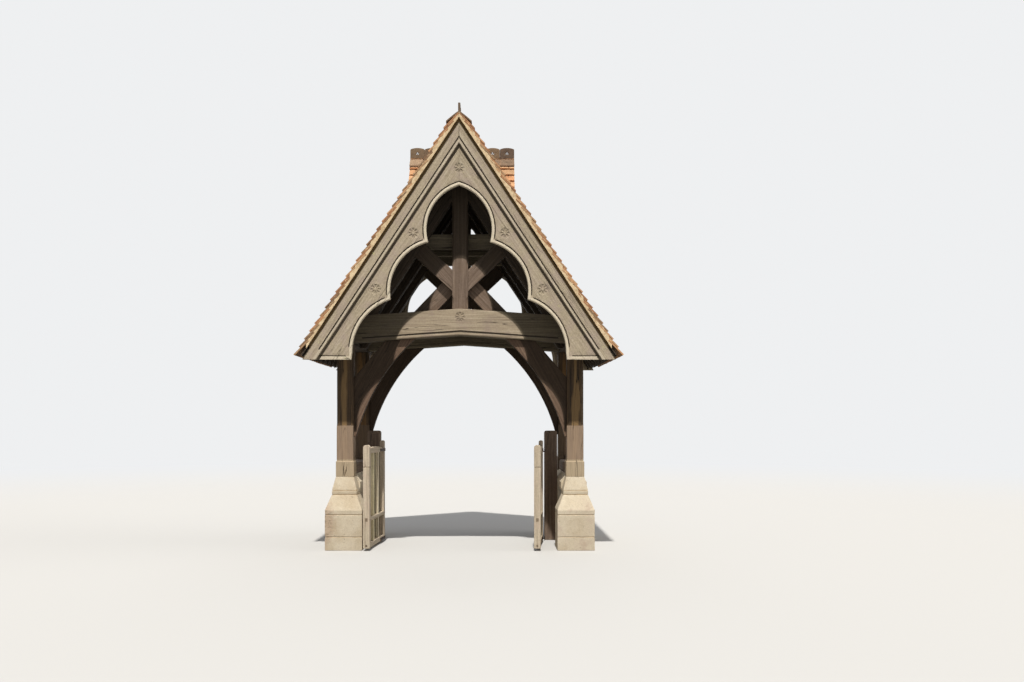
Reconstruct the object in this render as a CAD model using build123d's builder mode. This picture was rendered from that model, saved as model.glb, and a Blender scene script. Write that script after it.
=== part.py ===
"""A timber lychgate on stone plinths: two king-post trusses under a steep tiled roof with side
gablets, cusped bargeboards front and rear, and a pair of low gates that stand open.

Millimetres. +Z is up, +X is to the right for someone facing the front, and the front faces -Y.
The origin is on the ground, in the middle of the plan.
"""

import os
from math import atan2, cos, degrees, radians, sin, sqrt, tan

from build123d import *

os.makedirs("parts", exist_ok=True)

# Plan
truss_y = 835.0  # from the middle to each truss
post_x = 1530.0  # from the middle to each post's centre

# Stone plinths: a square base, a slope, a plain band and a slope up to the post
plinth_width = 490.0
plinth_band_width = 330.0
plinth_base_height = 532.0
plinth_slope_height = 198.0
plinth_band_height = 55.0
plinth_cap_height = 181.0

# Low walls between the plinths, with their copings and timber sills
wall_thickness = 240.0
coping_width = 348.0
coping_above_plinth = 19.0
coping_slope_height = 104.0
coping_nose_height = 74.0
coping_soffit_height = 110.0
sill_width = 200.0
sill_height = 145.0
sill_chamfer = 18.0

# Posts
post_width = 220.0
post_base_width = 240.0
post_base_height = 203.0
post_foot_height = 501.0  # the square part between the base block and the chamfers
post_height = 1767.0
post_chamfer = 32.0
post_chamfer_end = 130.0  # from the top of the post down to its chamfers
chamfer_stop = 45.0  # length of the sloping stop at each end of a chamfer

# Roof: every slope has one pitch
roof_pitch = 56.6
roof_thickness = 97.0
eaves_overhang = 480.0  # from the outer faces of the posts to the lowest tiles
verge_overhang = 35.0  # from the bargeboards to the ends of the tiles
tile_gauge = 120.0  # from the tail of one course of tiles to the next
tile_step = 22.0  # how far each tail stands above the course below it
rafter_depth = 100.0
rafter_width = 60.0
rafter_birdsmouth = 45.0
rafter_clearance = 15.0  # beside the tie beams
rafter_end_clearance = 5.0  # behind the bargeboards
rafter_foot_setback = 190.0
ridge_beam_width = 50.0
ridge_beam_depth = 395.0
ridge_beam_drop = 16.0

# Lengthwise timbers on the trusses
plate_width = 200.0
plate_depth = 242.0
purlin_width = 150.0
purlin_depth = 108.0
purlin_x = 930.0

# Trusses
tie_thickness = 220.0
tie_camber = 113.0
tie_depth = 352.0
tie_roll_radius = 20.0
tie_groove_rise = 48.0
groove_width = 8.0
groove_depth = 6.0
groove_end_x = 1300.0
king_width = 212.0
king_thickness = 180.0
king_chamfer = 24.0
king_chamfer_margin = 40.0  # left square beside each joint
principal_depth = 232.0
principal_thickness = 180.0
principal_head_joint = 1.0  # between the two rafters of the middle pair
collar_drop = 773.0  # from the apex of the principal rafters' lower edges
collar_depth = 197.0
collar_thickness = 100.0
strut_width = 210.0
strut_thickness = 90.0
upper_strut_angle = 43.2
upper_strut_rise = 377.0  # of its centre line at the king post, above the tie beam
lower_strut_angle = 46.2
lower_strut_rise = 353.0
brace_thickness = 100.0
brace_foot_drop = 1233.0  # below the top of the post
brace_foot_nib = 30.0
brace_head_x = 600.0
brace_bow = 114.0
brace_back_x = 1000.0
brace_back_drop = 450.0

# Bargeboards: a cusped board with a plain facing board over its outer edge
board_reach = 565.0  # from each truss to the front of the boards
board_gap = 30.0  # between the boards and the underside of the roof
board_foot_drop = 237.0  # below the top of the posts
facing_thickness = 35.0
facing_width = 148.0
facing_roll_width = 38.0
facing_roll_radius = 10.0
facing_groove_end = 130.0  # stops this high above the foot
cusped_thickness = 50.0
cusp_radii = (595.0, 646.0, 714.0)  # three arcs down each side, from the top
cusp_top_x = -174.0  # centre of the right half's topmost arc
cusp_top_drop = 1374.0  # below the apex of the boards
cusp_line_angle = 62.1  # of the line through the three centres
cusp_roll_width = 40.0
cusp_groove_stop = 5.0  # degrees short of each cusp
opening_inset = 43.0  # from the posts' inner faces to the widest part of the opening
foot_flare = 10.0
foot_groove_rise = 46.0
foot_groove_margin = 60.0

# Side gablets and ridges
gablet_drop = 237.0  # from the main apex down to the gablets'
gablet_end_x = 740.0
gablet_wall_thickness = 40.0
gablet_wall_setback = 40.0
ridge_wing_x = 165.0
ridge_tile_drop = 95.0
ridge_tile_thickness = 22.0
crest_thickness = 28.0
crest_height = 150.0
crest_unit_length = 205.0
crest_dome = 20.0
crest_lobe_radius = 11.0  # of the trefoil through each unit of the crest
crest_lobe_spread = 10.0
crest_hole_height = 72.0

# Gates
gate_post_width = 178.0
gate_post_y = 149.0
gate_post_top = 1566.0
gate_post_round = 35.0
hinge_stand_off = 56.0  # from the hanging post to the hinge pins
hinge_set_forward = 80.0  # from the front of the hanging post to the hinge pins
pin_radius = 9.0
eye_clearance = 0.5
eye_wall = 8.0
strap_thickness = 6.0
strap_height = 40.0
strap_length = 330.0
strap_lift = 5.0  # above the lower edge of its rail
pintle_arm = 16.0
pintle_plate_length = 150.0
pintle_gap = 0.4
meeting_gap = 8.0
leaf_bottom = 34.0
leaf_thickness = 58.0
heel_start = 27.0
heel_width = 90.0
heel_top = 1430.0
heel_round = 24.0
meeting_width = 88.0
meeting_thickness = 86.0
meeting_top = 1390.0
meeting_round = 38.0
neck_height = 1100.0
neck_width = 8.0
neck_depth = 4.0
top_rail_top = 1355.0
top_rail_heel_drop = 33.0
top_rail_meeting_drop = 13.0
top_rail_depth = 80.0
mid_rail_top = 434.0
mid_rail_depth = 51.0
bottom_rail_depth = 66.0
bar_width = 70.0
bar_thickness = 40.0
bar_places = (1 / 3, 2 / 3)
left_open_angle = 95.2
right_open_angle = 84.6

# Heights, from the ground up
plinth_slope_top = plinth_base_height + plinth_slope_height
plinth_band_top = plinth_slope_top + plinth_band_height
plinth_top = plinth_band_top + plinth_cap_height
coping_top = plinth_top + coping_above_plinth
coping_nose_top = coping_top - coping_slope_height
coping_nose_bottom = coping_nose_top - coping_nose_height
wall_top = coping_nose_bottom - coping_soffit_height
post_base_top = plinth_top + post_base_height
post_chamfer_bottom = post_base_top + post_foot_height
post_top = plinth_top + post_height
plate_top = post_top + plate_depth

# Slopes: each apex is where the two sides would meet in the middle
rise = tan(radians(roof_pitch))
upright = 1 / cos(radians(roof_pitch))  # turns a depth across a slope into a height
post_inner_x = post_x - post_width / 2
plate_outer_x = post_x + post_width / 2
rafter_underside_apex = plate_top - rafter_birdsmouth + plate_outer_x * rise
roof_underside_apex = rafter_underside_apex + rafter_depth * upright
roof_apex = roof_underside_apex + roof_thickness * upright
principal_back_apex = rafter_underside_apex - purlin_depth * upright
principal_arris_apex = principal_back_apex - principal_depth * upright
ridge_beam_top = roof_underside_apex - ridge_beam_width / 2 * rise - ridge_beam_drop
king_top = ridge_beam_top - ridge_beam_depth
eaves_x = plate_outer_x + eaves_overhang

# Lengths from the middle to the front or rear
board_face_y = truss_y + board_reach
roof_half_length = board_face_y + verge_overhang
frame_half_length = board_face_y - facing_thickness - cusped_thickness

sides = {"left": -1, "right": 1}
ends = {"front": -1, "rear": 1}


def save(piece, name):
    piece.part.label = name
    export_step(piece.part, f"parts/{name}.step")


def upright_plane(y):
    """The vertical plane at y, seen from the front: its x is +X and its y is +Z."""
    return Plane(origin=(0, y, 0), x_dir=(1, 0, 0), z_dir=(0, -1, 0))


def tie_bottom_at(x):
    return post_top + tie_camber * (1 - abs(x) / plate_outer_x)


def tie_top_at(x):
    return tie_bottom_at(x) + tie_depth


def stopped_chamfer(corner, inward, width, bottom, top):
    """What a chamfer cuts off an upright arris, with a sloping stop at each end.

    inward holds the signs of the directions from the arris into the timber.
    """
    depth = width / sqrt(2)
    along = (inward[0] / sqrt(2), inward[1] / sqrt(2))
    diagonal_plane = Plane(
        origin=(corner[0], corner[1], 0),
        x_dir=(along[0], along[1], 0),
        z_dir=(along[1], -along[0], 0),
    )
    with BuildPart() as waste:
        with BuildSketch(diagonal_plane):
            with BuildLine():
                Polyline(
                    (0, bottom),
                    (depth, bottom + chamfer_stop),
                    (depth, top - chamfer_stop),
                    (0, top),
                    close=True,
                )
            make_face()
        extrude(amount=2 * depth, both=True)
    return waste.part


# Stone plinths
def plinth(x, y):
    slopes = (
        (plinth_base_height, plinth_slope_height, plinth_width, plinth_band_width),
        (plinth_band_top, plinth_cap_height, plinth_band_width, post_base_width),
    )
    blocks = (
        (0, plinth_base_height, plinth_width),
        (plinth_slope_top, plinth_band_height, plinth_band_width),
    )
    with BuildPart() as stone:
        for bottom, height, width in blocks:
            with BuildSketch(Plane.XY.offset(bottom)):
                with Locations((x, y)):
                    Rectangle(width, width)
            extrude(amount=height)
        for bottom, height, low_width, high_width in slopes:
            with BuildSketch(Plane.XY.offset(bottom)):
                with Locations((x, y)):
                    Rectangle(low_width, low_width)
            lean = degrees(atan2((low_width - high_width) / 2, height))
            extrude(amount=height, taper=lean)
    return stone


plinths = {}
for end, end_sign in ends.items():
    for side, side_sign in sides.items():
        plinths[end, side] = plinth(side_sign * post_x, end_sign * truss_y)
        save(plinths[end, side], f"plinth_{end}_{side}")

# Low walls, their copings and the sills, each between two plinths
sill_half_length = truss_y - post_base_width / 2

for side, side_sign in sides.items():
    with BuildPart() as dwarf_wall:
        with Locations((side_sign * post_x, 0, 0)):
            Box(
                wall_thickness,
                2 * truss_y,
                wall_top,
                align=(Align.CENTER, Align.CENTER, Align.MIN),
            )
        for end in ends:
            add(plinths[end, side].part, mode=Mode.SUBTRACT)
    save(dwarf_wall, f"dwarf_wall_{side}")

    with BuildPart() as coping:
        with BuildSketch(upright_plane(0)):
            with BuildLine():
                Polyline(
                    (side_sign * post_x - wall_thickness / 2, wall_top),
                    (side_sign * post_x + wall_thickness / 2, wall_top),
                    (side_sign * post_x + coping_width / 2, coping_nose_bottom),
                    (side_sign * post_x + coping_width / 2, coping_nose_top),
                    (side_sign * post_x + sill_width / 2, coping_top),
                    (side_sign * post_x - sill_width / 2, coping_top),
                    (side_sign * post_x - coping_width / 2, coping_nose_top),
                    (side_sign * post_x - coping_width / 2, coping_nose_bottom),
                    close=True,
                )
            make_face()
        extrude(amount=sill_half_length, both=True)
        for end in ends:
            add(plinths[end, side].part, mode=Mode.SUBTRACT)
    save(coping, f"coping_{side}")

    with BuildPart() as sill:
        with Locations((side_sign * post_x, 0, coping_top)):
            Box(
                sill_width,
                2 * sill_half_length,
                sill_height,
                align=(Align.CENTER, Align.CENTER, Align.MIN),
            )
        top_edges = sill.faces().sort_by(Axis.Z)[-1].edges().filter_by(Axis.Y)
        chamfer(top_edges, length=sill_chamfer)
    save(sill, f"sill_{side}")


# Posts: a wider base block, a square foot, then chamfered corners up to the tie beam
def post(x, y):
    corner_signs = ((-1, -1), (1, -1), (1, 1), (-1, 1))
    waste = [
        stopped_chamfer(
            (x + sign_x * post_width / 2, y + sign_y * post_width / 2),
            (-sign_x, -sign_y),
            post_chamfer,
            post_chamfer_bottom - chamfer_stop,
            post_top - post_chamfer_end,
        )
        for sign_x, sign_y in corner_signs
    ]
    with BuildPart() as timber:
        with BuildSketch(Plane.XY.offset(plinth_top)):
            with Locations((x, y)):
                Rectangle(post_base_width, post_base_width)
        extrude(amount=post_base_height)
        with BuildSketch(Plane.XY.offset(post_base_top)):
            with Locations((x, y)):
                Rectangle(post_width, post_width)
        extrude(amount=post_top - post_base_top)
        add(waste, mode=Mode.SUBTRACT)
    return timber


for end, end_sign in ends.items():
    for side, side_sign in sides.items():
        save(post(side_sign * post_x, end_sign * truss_y), f"post_{end}_{side}")

# Wall plates on the posts, running out to the bargeboards
with BuildPart() as wall_plates:
    with Locations(
        *((s * (plate_outer_x - plate_width / 2), 0, post_top) for s in sides.values())
    ):
        Box(
            plate_width,
            2 * frame_half_length,
            plate_depth,
            align=(Align.CENTER, Align.CENTER, Align.MIN),
        )
save(wall_plates, "wall_plates")

# The ridge beam on the king posts
with BuildPart() as ridge_beam:
    with Locations((0, 0, king_top)):
        Box(
            ridge_beam_width,
            2 * frame_half_length,
            ridge_beam_depth,
            align=(Align.CENTER, Align.CENTER, Align.MIN),
        )
save(ridge_beam, "ridge_beam")

# One purlin on each side, between the backs of the principal rafters and the common rafters
with BuildPart() as purlins:
    for side_sign in sides.values():
        purlin_low_z = principal_back_apex - purlin_x * rise
        slope_plane = Plane(
            origin=(side_sign * purlin_x, 0, purlin_low_z),
            x_dir=(side_sign * cos(radians(roof_pitch)), 0, -sin(radians(roof_pitch))),
            z_dir=(0, -side_sign, 0),
        )
        with BuildSketch(slope_plane):
            Rectangle(purlin_width, purlin_depth, align=(Align.CENTER, Align.MIN))
        extrude(amount=frame_half_length, both=True)
save(purlins, "purlins")

# Tie beams, cambered to a shallow point and cogged over the wall plates, with rounded lower
# arrises and a groove above each
for end, end_sign in ends.items():
    with BuildPart() as tie_beam:
        with BuildSketch(upright_plane(end_sign * truss_y)):
            with BuildLine():
                Polyline(
                    (-plate_outer_x, tie_bottom_at(plate_outer_x)),
                    (0, tie_bottom_at(0)),
                    (plate_outer_x, tie_bottom_at(plate_outer_x)),
                    (plate_outer_x, tie_top_at(plate_outer_x)),
                    (0, tie_top_at(0)),
                    (-plate_outer_x, tie_top_at(plate_outer_x)),
                    close=True,
                )
            make_face()
        extrude(amount=tie_thickness / 2, both=True)
        lower_edges = [
            tie_beam.edges().sort_by_distance(
                Vector(
                    sign_x * plate_outer_x / 2,
                    end_sign * truss_y + sign_y * tie_thickness / 2,
                    tie_bottom_at(plate_outer_x / 2),
                )
            )[0]
            for sign_x in sides.values()
            for sign_y in ends.values()
        ]
        fillet(lower_edges, radius=tie_roll_radius)
        for sign_y in ends.values():
            with BuildSketch(upright_plane(end_sign * truss_y + sign_y * tie_thickness / 2)):
                with BuildLine():
                    Polyline(
                        (-groove_end_x, tie_bottom_at(groove_end_x) + tie_groove_rise),
                        (0, tie_bottom_at(0) + tie_groove_rise),
                        (groove_end_x, tie_bottom_at(groove_end_x) + tie_groove_rise),
                        (groove_end_x, tie_bottom_at(groove_end_x) + tie_groove_rise + groove_width),
                        (0, tie_bottom_at(0) + tie_groove_rise + groove_width),
                        (-groove_end_x, tie_bottom_at(groove_end_x) + tie_groove_rise + groove_width),
                        close=True,
                    )
                make_face()
            extrude(amount=groove_depth, both=True, mode=Mode.SUBTRACT)
        add(wall_plates.part, mode=Mode.SUBTRACT)
    save(tie_beam, f"tie_beam_{end}")

# King posts, from the tie beams up to the ridge beam. Their outer corners are chamfered below
# the struts, and again between the struts and the principal rafters.
upper_strut_z = tie_top_at(0) + upper_strut_rise
lower_strut_z = tie_top_at(0) + lower_strut_rise
upper_strut_half = strut_width / 2 / cos(radians(upper_strut_angle))
lower_strut_half = strut_width / 2 / cos(radians(lower_strut_angle))
strut_bottom = min(upper_strut_z - upper_strut_half, lower_strut_z - lower_strut_half)
strut_top = max(upper_strut_z + upper_strut_half, lower_strut_z + lower_strut_half)
king_chamfer_runs = (
    (tie_top_at(0), strut_bottom),
    (strut_top, principal_arris_apex - king_width / 2 * rise),
)

for end, end_sign in ends.items():
    waste = [
        stopped_chamfer(
            (side_sign * king_width / 2, end_sign * (truss_y + king_thickness / 2)),
            (-side_sign, -end_sign),
            king_chamfer,
            bottom + king_chamfer_margin / 2,
            top - king_chamfer_margin / 2,
        )
        for side_sign in sides.values()
        for bottom, top in king_chamfer_runs
    ]
    with BuildPart() as king_post:
        with BuildSketch(upright_plane(end_sign * truss_y)):
            with BuildLine():
                Polyline(
                    (0, tie_top_at(0)),
                    (king_width / 2, tie_top_at(king_width / 2)),
                    (king_width / 2, king_top),
                    (-king_width / 2, king_top),
                    (-king_width / 2, tie_top_at(king_width / 2)),
                    close=True,
                )
            make_face()
        extrude(amount=king_thickness / 2, both=True)
        add(waste, mode=Mode.SUBTRACT)
    save(king_post, f"king_post_{end}")


# Principal rafters stand on the tie beams and meet the king posts. The middle pair, below the
# gablets, has no tie beam: it is notched over the wall plates and meets under the ridge beam.
def rafter_pair(y, foot_z, head_x):
    with BuildPart() as pair:
        for side_sign in sides.values():
            with BuildSketch(upright_plane(y)):
                with BuildLine():
                    Polyline(
                        (side_sign * head_x, principal_arris_apex - head_x * rise),
                        (side_sign * head_x, principal_back_apex - head_x * rise),
                        (side_sign * plate_outer_x, principal_back_apex - plate_outer_x * rise),
                        (side_sign * plate_outer_x, principal_arris_apex - plate_outer_x * rise),
                        close=True,
                    )
                make_face()
            extrude(amount=principal_thickness / 2, both=True)
        with BuildSketch(upright_plane(y)):
            with BuildLine():
                Polyline(
                    (-3 * post_x, 0),
                    (3 * post_x, 0),
                    (3 * post_x, foot_z(3 * post_x)),
                    (0, foot_z(0)),
                    (-3 * post_x, foot_z(3 * post_x)),
                    close=True,
                )
            make_face()
        extrude(amount=principal_thickness, both=True, mode=Mode.SUBTRACT)
        add([wall_plates.part, ridge_beam.part], mode=Mode.SUBTRACT)
    return pair


for end, end_sign in ends.items():
    save(
        rafter_pair(end_sign * truss_y, tie_top_at, king_width / 2),
        f"principal_rafters_{end}",
    )
save(
    rafter_pair(0, lambda x: post_top, principal_head_joint / 2),
    "principal_rafters_middle",
)

# Collars, lapped across the inner faces of each king post and its rafters. The middle pair has
# one on its front face.
collar_bottom = principal_arris_apex - collar_drop
collar_top = collar_bottom + collar_depth
collar_offset = (principal_thickness + collar_thickness) / 2
collar_places = {
    "front": -(truss_y - collar_offset),
    "middle": -collar_offset,
    "rear": truss_y - collar_offset,
}
for place, collar_y in collar_places.items():
    with BuildPart() as collar:
        with BuildSketch(upright_plane(collar_y)):
            with BuildLine():
                Polyline(
                    (-(principal_back_apex - collar_bottom) / rise, collar_bottom),
                    ((principal_back_apex - collar_bottom) / rise, collar_bottom),
                    ((principal_back_apex - collar_top) / rise, collar_top),
                    (-(principal_back_apex - collar_top) / rise, collar_top),
                    close=True,
                )
            make_face()
        extrude(amount=collar_thickness / 2, both=True)
    save(collar, f"collar_{place}")


# Struts: two rise from the king post to the rafters, in front of two that drop to the tie beam
def strut_pair(y, angle, face_z, direction):
    half_height = strut_width / 2 / cos(radians(angle))
    run = plate_outer_x / 2
    climb = direction * run * tan(radians(angle))
    corner_x = (principal_arris_apex - tie_top_at(0)) / (rise - tie_camber / plate_outer_x)
    with BuildPart() as pair:
        for side_sign in sides.values():
            near_x = side_sign * king_width / 2
            far_x = side_sign * (king_width / 2 + run)
            with BuildSketch(upright_plane(y)):
                with BuildLine():
                    Polyline(
                        (near_x, face_z - half_height),
                        (far_x, face_z - half_height + climb),
                        (far_x, face_z + half_height + climb),
                        (near_x, face_z + half_height),
                        close=True,
                    )
                make_face()
            extrude(amount=strut_thickness / 2, both=True)
        with BuildSketch(upright_plane(y)):
            with BuildLine():
                Polyline(
                    (0, tie_top_at(0)),
                    (corner_x, tie_top_at(corner_x)),
                    (0, principal_arris_apex),
                    (-corner_x, tie_top_at(corner_x)),
                    close=True,
                )
            make_face()
        extrude(amount=strut_thickness, both=True, mode=Mode.INTERSECT)
    return pair


for end, end_sign in ends.items():
    outer_y = end_sign * (truss_y + strut_thickness / 2)
    inner_y = end_sign * (truss_y - strut_thickness / 2)
    save(strut_pair(outer_y, upper_strut_angle, upper_strut_z, 1), f"upper_struts_{end}")
    save(strut_pair(inner_y, lower_strut_angle, lower_strut_z, -1), f"lower_struts_{end}")


# Curved braces from the posts to the tie beams
def arch_braces(y):
    foot_z = post_top - brace_foot_drop
    head = (brace_head_x, tie_bottom_at(brace_head_x))
    foot = (post_inner_x - brace_foot_nib, foot_z)
    chord = (head[0] - foot[0], head[1] - foot[1])
    chord_length = sqrt(chord[0] ** 2 + chord[1] ** 2)
    bow_x = (head[0] + foot[0]) / 2 + brace_bow * chord[1] / chord_length
    bow_z = (head[1] + foot[1]) / 2 - brace_bow * chord[0] / chord_length
    with BuildPart() as pair:
        for side_sign in sides.values():
            with BuildSketch(upright_plane(y)):
                with BuildLine():
                    ThreePointArc(
                        (side_sign * foot[0], foot[1]),
                        (side_sign * bow_x, bow_z),
                        (side_sign * head[0], head[1]),
                    )
                    Polyline(
                        (side_sign * head[0], head[1]),
                        (side_sign * brace_back_x, tie_bottom_at(brace_back_x)),
                        (side_sign * post_inner_x, post_top - brace_back_drop),
                        (side_sign * post_inner_x, foot_z),
                        (side_sign * foot[0], foot[1]),
                    )
                make_face()
            extrude(amount=brace_thickness / 2, both=True)
    return pair


for end, end_sign in ends.items():
    save(arch_braces(end_sign * truss_y), f"arch_braces_{end}")

# Common rafters, from the ridge beam over the wall plates to the eaves. Each truss has one
# close to either side of its tie beam.
rafter_foot_x = eaves_x - rafter_foot_setback
beside_tie = tie_thickness / 2 + rafter_clearance + rafter_width / 2
rafter_places = (
    0,
    (truss_y - beside_tie) / 2,
    truss_y - beside_tie,
    truss_y + beside_tie,
    frame_half_length - rafter_end_clearance - rafter_width / 2,
)

with BuildPart() as common_rafters:
    head_x = ridge_beam_width / 2
    for rafter_y in sorted({s * y for y in rafter_places for s in ends.values()}):
        for side_sign in sides.values():
            with BuildSketch(upright_plane(rafter_y)):
                with BuildLine():
                    Polyline(
                        (side_sign * head_x, roof_underside_apex - head_x * rise),
                        (side_sign * rafter_foot_x, roof_underside_apex - rafter_foot_x * rise),
                        (side_sign * rafter_foot_x, rafter_underside_apex - rafter_foot_x * rise),
                        (side_sign * head_x, rafter_underside_apex - head_x * rise),
                        close=True,
                    )
                make_face()
            extrude(amount=rafter_width / 2, both=True)
    add(wall_plates.part, mode=Mode.SUBTRACT)
save(common_rafters, "common_rafters")

def tile_courses(apex, foot_x):
    """Points down the outside of a tiled slope, from the edge of the ridge tiles to its foot.

    Each course runs from under the course above it out to its own tail.
    """

    def below_outer_plane(distance, depth):
        x = foot_x - distance * cos(radians(roof_pitch)) - depth * sin(radians(roof_pitch))
        z = apex - foot_x * rise + distance * sin(radians(roof_pitch))
        return (x, z - depth * cos(radians(roof_pitch)))

    slope_length = (foot_x - ridge_wing_x) / cos(radians(roof_pitch))
    points = [(foot_x, apex - foot_x * rise)]
    for course in range(1, int(slope_length / tile_gauge) + 1):
        points.append(below_outer_plane(course * tile_gauge, tile_step))
        points.append(below_outer_plane(course * tile_gauge, 0))
    covered = slope_length % tile_gauge / tile_gauge
    points.append(below_outer_plane(slope_length, covered * tile_step))
    points.append((ridge_wing_x, apex - ridge_wing_x * rise))
    return points[::-1]


# Main roof slopes: tiles, battens and boards as one thickness, under the ridge tiles
ridge_tile_apex = roof_apex - ridge_tile_drop
ridge_wing_z = roof_apex - ridge_wing_x * rise

for side, side_sign in sides.items():
    inner_eaves_x = eaves_x - roof_thickness * sin(radians(roof_pitch))
    inner_eaves_z = roof_underside_apex - inner_eaves_x * rise
    with BuildPart() as roof_slope:
        with BuildSketch(upright_plane(0)):
            with BuildLine():
                Polyline(
                    (0, roof_underside_apex),
                    (0, ridge_tile_apex - ridge_tile_thickness),
                    *((side_sign * x, z) for x, z in tile_courses(roof_apex, eaves_x)),
                    (side_sign * inner_eaves_x, inner_eaves_z),
                    close=True,
                )
            make_face()
        extrude(amount=roof_half_length, both=True)
    save(roof_slope, f"roof_slope_{side}")


# Ridges: angled tiles, and an upright crest made of units with domed tops
def ridge_tile_outline(apex, wing_z):
    """The section of the ridge tiles, in a sketch that has its y upwards."""
    with BuildLine() as outline:
        Polyline(
            (0, apex - ridge_tile_thickness),
            (ridge_wing_x, wing_z),
            (ridge_wing_x, wing_z + ridge_tile_thickness),
            (0, apex),
            (-ridge_wing_x, wing_z + ridge_tile_thickness),
            (-ridge_wing_x, wing_z),
            close=True,
        )
    return outline.line


def trefoil(start, apex):
    """What is cut out of the unit of the crest that begins at start."""
    with BuildSketch(mode=Mode.PRIVATE) as hole:
        with Locations((start + crest_unit_length / 2, apex + crest_hole_height)):
            with PolarLocations(crest_lobe_spread, 3, start_angle=90):
                Circle(crest_lobe_radius)
    return hole.sketch


def crest_unit_outline(start, apex):
    """One unit of the crest, from start towards the sketch's +x."""
    shoulder = apex + crest_height - crest_dome
    with BuildLine() as outline:
        dome = ThreePointArc(
            (start, shoulder),
            (start + crest_unit_length / 2, apex + crest_height),
            (start + crest_unit_length, shoulder),
        )
        Polyline(
            dome @ 1,
            (start + crest_unit_length, apex - ridge_tile_thickness / 2),
            (start, apex - ridge_tile_thickness / 2),
            dome @ 0,
        )
    return outline.line


with BuildPart() as ridge_crest:
    with BuildSketch(upright_plane(0)):
        add(ridge_tile_outline(ridge_tile_apex, ridge_wing_z))
        make_face()
    extrude(amount=roof_half_length, both=True)
    unit_count = int(2 * roof_half_length / crest_unit_length)
    crest_start = -unit_count * crest_unit_length / 2
    with BuildSketch(Plane.YZ):
        for unit in range(unit_count):
            add(crest_unit_outline(crest_start + unit * crest_unit_length, ridge_tile_apex))
            make_face()
            add(trefoil(crest_start + unit * crest_unit_length, ridge_tile_apex), mode=Mode.SUBTRACT)
    extrude(amount=crest_thickness / 2, both=True)
save(ridge_crest, "ridge_crest")

# The space below the outer faces of the main roof, used to fit the gablets on to it
with BuildPart() as below_main_roof:
    with BuildSketch(upright_plane(0)):
        with BuildLine():
            Polyline(
                (0, roof_apex),
                *tile_courses(roof_apex, eaves_x),
                *((-x, z) for x, z in tile_courses(roof_apex, eaves_x)[::-1]),
                close=True,
            )
        make_face()
    extrude(amount=roof_half_length, both=True)

gablet_apex = roof_apex - gablet_drop
gablet_wing_z = gablet_apex - ridge_wing_x * rise
gablet_tile_apex = gablet_apex - ridge_tile_drop
gablet_inner_apex = gablet_apex - roof_thickness * upright
gablet_foot_z = roof_apex - gablet_end_x * rise
gablet_reach = (gablet_apex - gablet_foot_z) / rise + roof_thickness

for side, side_sign in sides.items():
    # Gablet slopes, with the ridge cut down for its tiles
    with BuildPart() as gablet_roof:
        with BuildSketch(Plane.YZ):
            with BuildLine():
                Polyline(
                    (0, gablet_inner_apex),
                    (gablet_reach, gablet_inner_apex - gablet_reach * rise),
                    *tile_courses(gablet_apex, gablet_reach)[::-1],
                    (0, gablet_tile_apex - ridge_tile_thickness),
                    *((-y, z) for y, z in tile_courses(gablet_apex, gablet_reach)),
                    (-gablet_reach, gablet_inner_apex - gablet_reach * rise),
                    close=True,
                )
            make_face()
        extrude(amount=side_sign * gablet_end_x)
        add(below_main_roof.part, mode=Mode.SUBTRACT)
    save(gablet_roof, f"gablet_roof_{side}")

    # Gablet wall, filling the end under the slopes
    wall_face_x = gablet_end_x - gablet_wall_setback
    wall_half_width = (gablet_inner_apex - gablet_foot_z) / rise
    with BuildPart() as gablet_wall:
        with BuildSketch(Plane.YZ.offset(side_sign * wall_face_x)):
            with BuildLine():
                Polyline(
                    (-wall_half_width, gablet_foot_z),
                    (wall_half_width, gablet_foot_z),
                    (0, gablet_inner_apex),
                    close=True,
                )
            make_face()
        extrude(amount=-side_sign * gablet_wall_thickness)
        add(below_main_roof.part, mode=Mode.SUBTRACT)
    save(gablet_wall, f"gablet_wall_{side}")

    # Ridge tiles and crest of the gablet, from its end back to the main roof
    with BuildPart() as gablet_crest:
        with BuildSketch(Plane.YZ):
            add(ridge_tile_outline(gablet_tile_apex, gablet_wing_z))
            make_face()
        extrude(amount=side_sign * gablet_end_x)
        with BuildSketch(upright_plane(0)):
            for unit in range(int(gablet_end_x / crest_unit_length)):
                if side_sign > 0:
                    unit_start = gablet_end_x - (unit + 1) * crest_unit_length
                else:
                    unit_start = unit * crest_unit_length - gablet_end_x
                add(crest_unit_outline(unit_start, gablet_tile_apex))
                make_face()
                add(trefoil(unit_start, gablet_tile_apex), mode=Mode.SUBTRACT)
        extrude(amount=crest_thickness / 2, both=True)
        add([below_main_roof.part, ridge_crest.part], mode=Mode.SUBTRACT)
    save(gablet_crest, f"gablet_crest_{side}")

# Bargeboards: the outline of the opening, given for the right half
board_apex = roof_underside_apex - board_gap * upright
board_foot = post_top - board_foot_drop
board_foot_x = (board_apex - board_foot) / rise
opening_side_x = post_inner_x - opening_inset
cusp_step_x = (opening_side_x - cusp_radii[2] - cusp_top_x) / 2
cusp_step_z = -cusp_step_x * tan(radians(cusp_line_angle))


def arc_centre(index):
    return (
        cusp_top_x + index * cusp_step_x,
        board_apex - cusp_top_drop + index * cusp_step_z,
    )


def cusp_tip(lower, upper):
    """Where two neighbouring arcs cross, on the side of the opening."""
    (x1, z1), r1 = arc_centre(upper), cusp_radii[upper]
    (x2, z2), r2 = arc_centre(lower), cusp_radii[lower]
    apart = sqrt((x2 - x1) ** 2 + (z2 - z1) ** 2)
    along = (r1**2 - r2**2 + apart**2) / (2 * apart)
    across = sqrt(r1**2 - along**2)
    ux, uz = (x2 - x1) / apart, (z2 - z1) / apart
    return (x1 + ux * along - uz * across, z1 + uz * along + ux * across)


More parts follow.
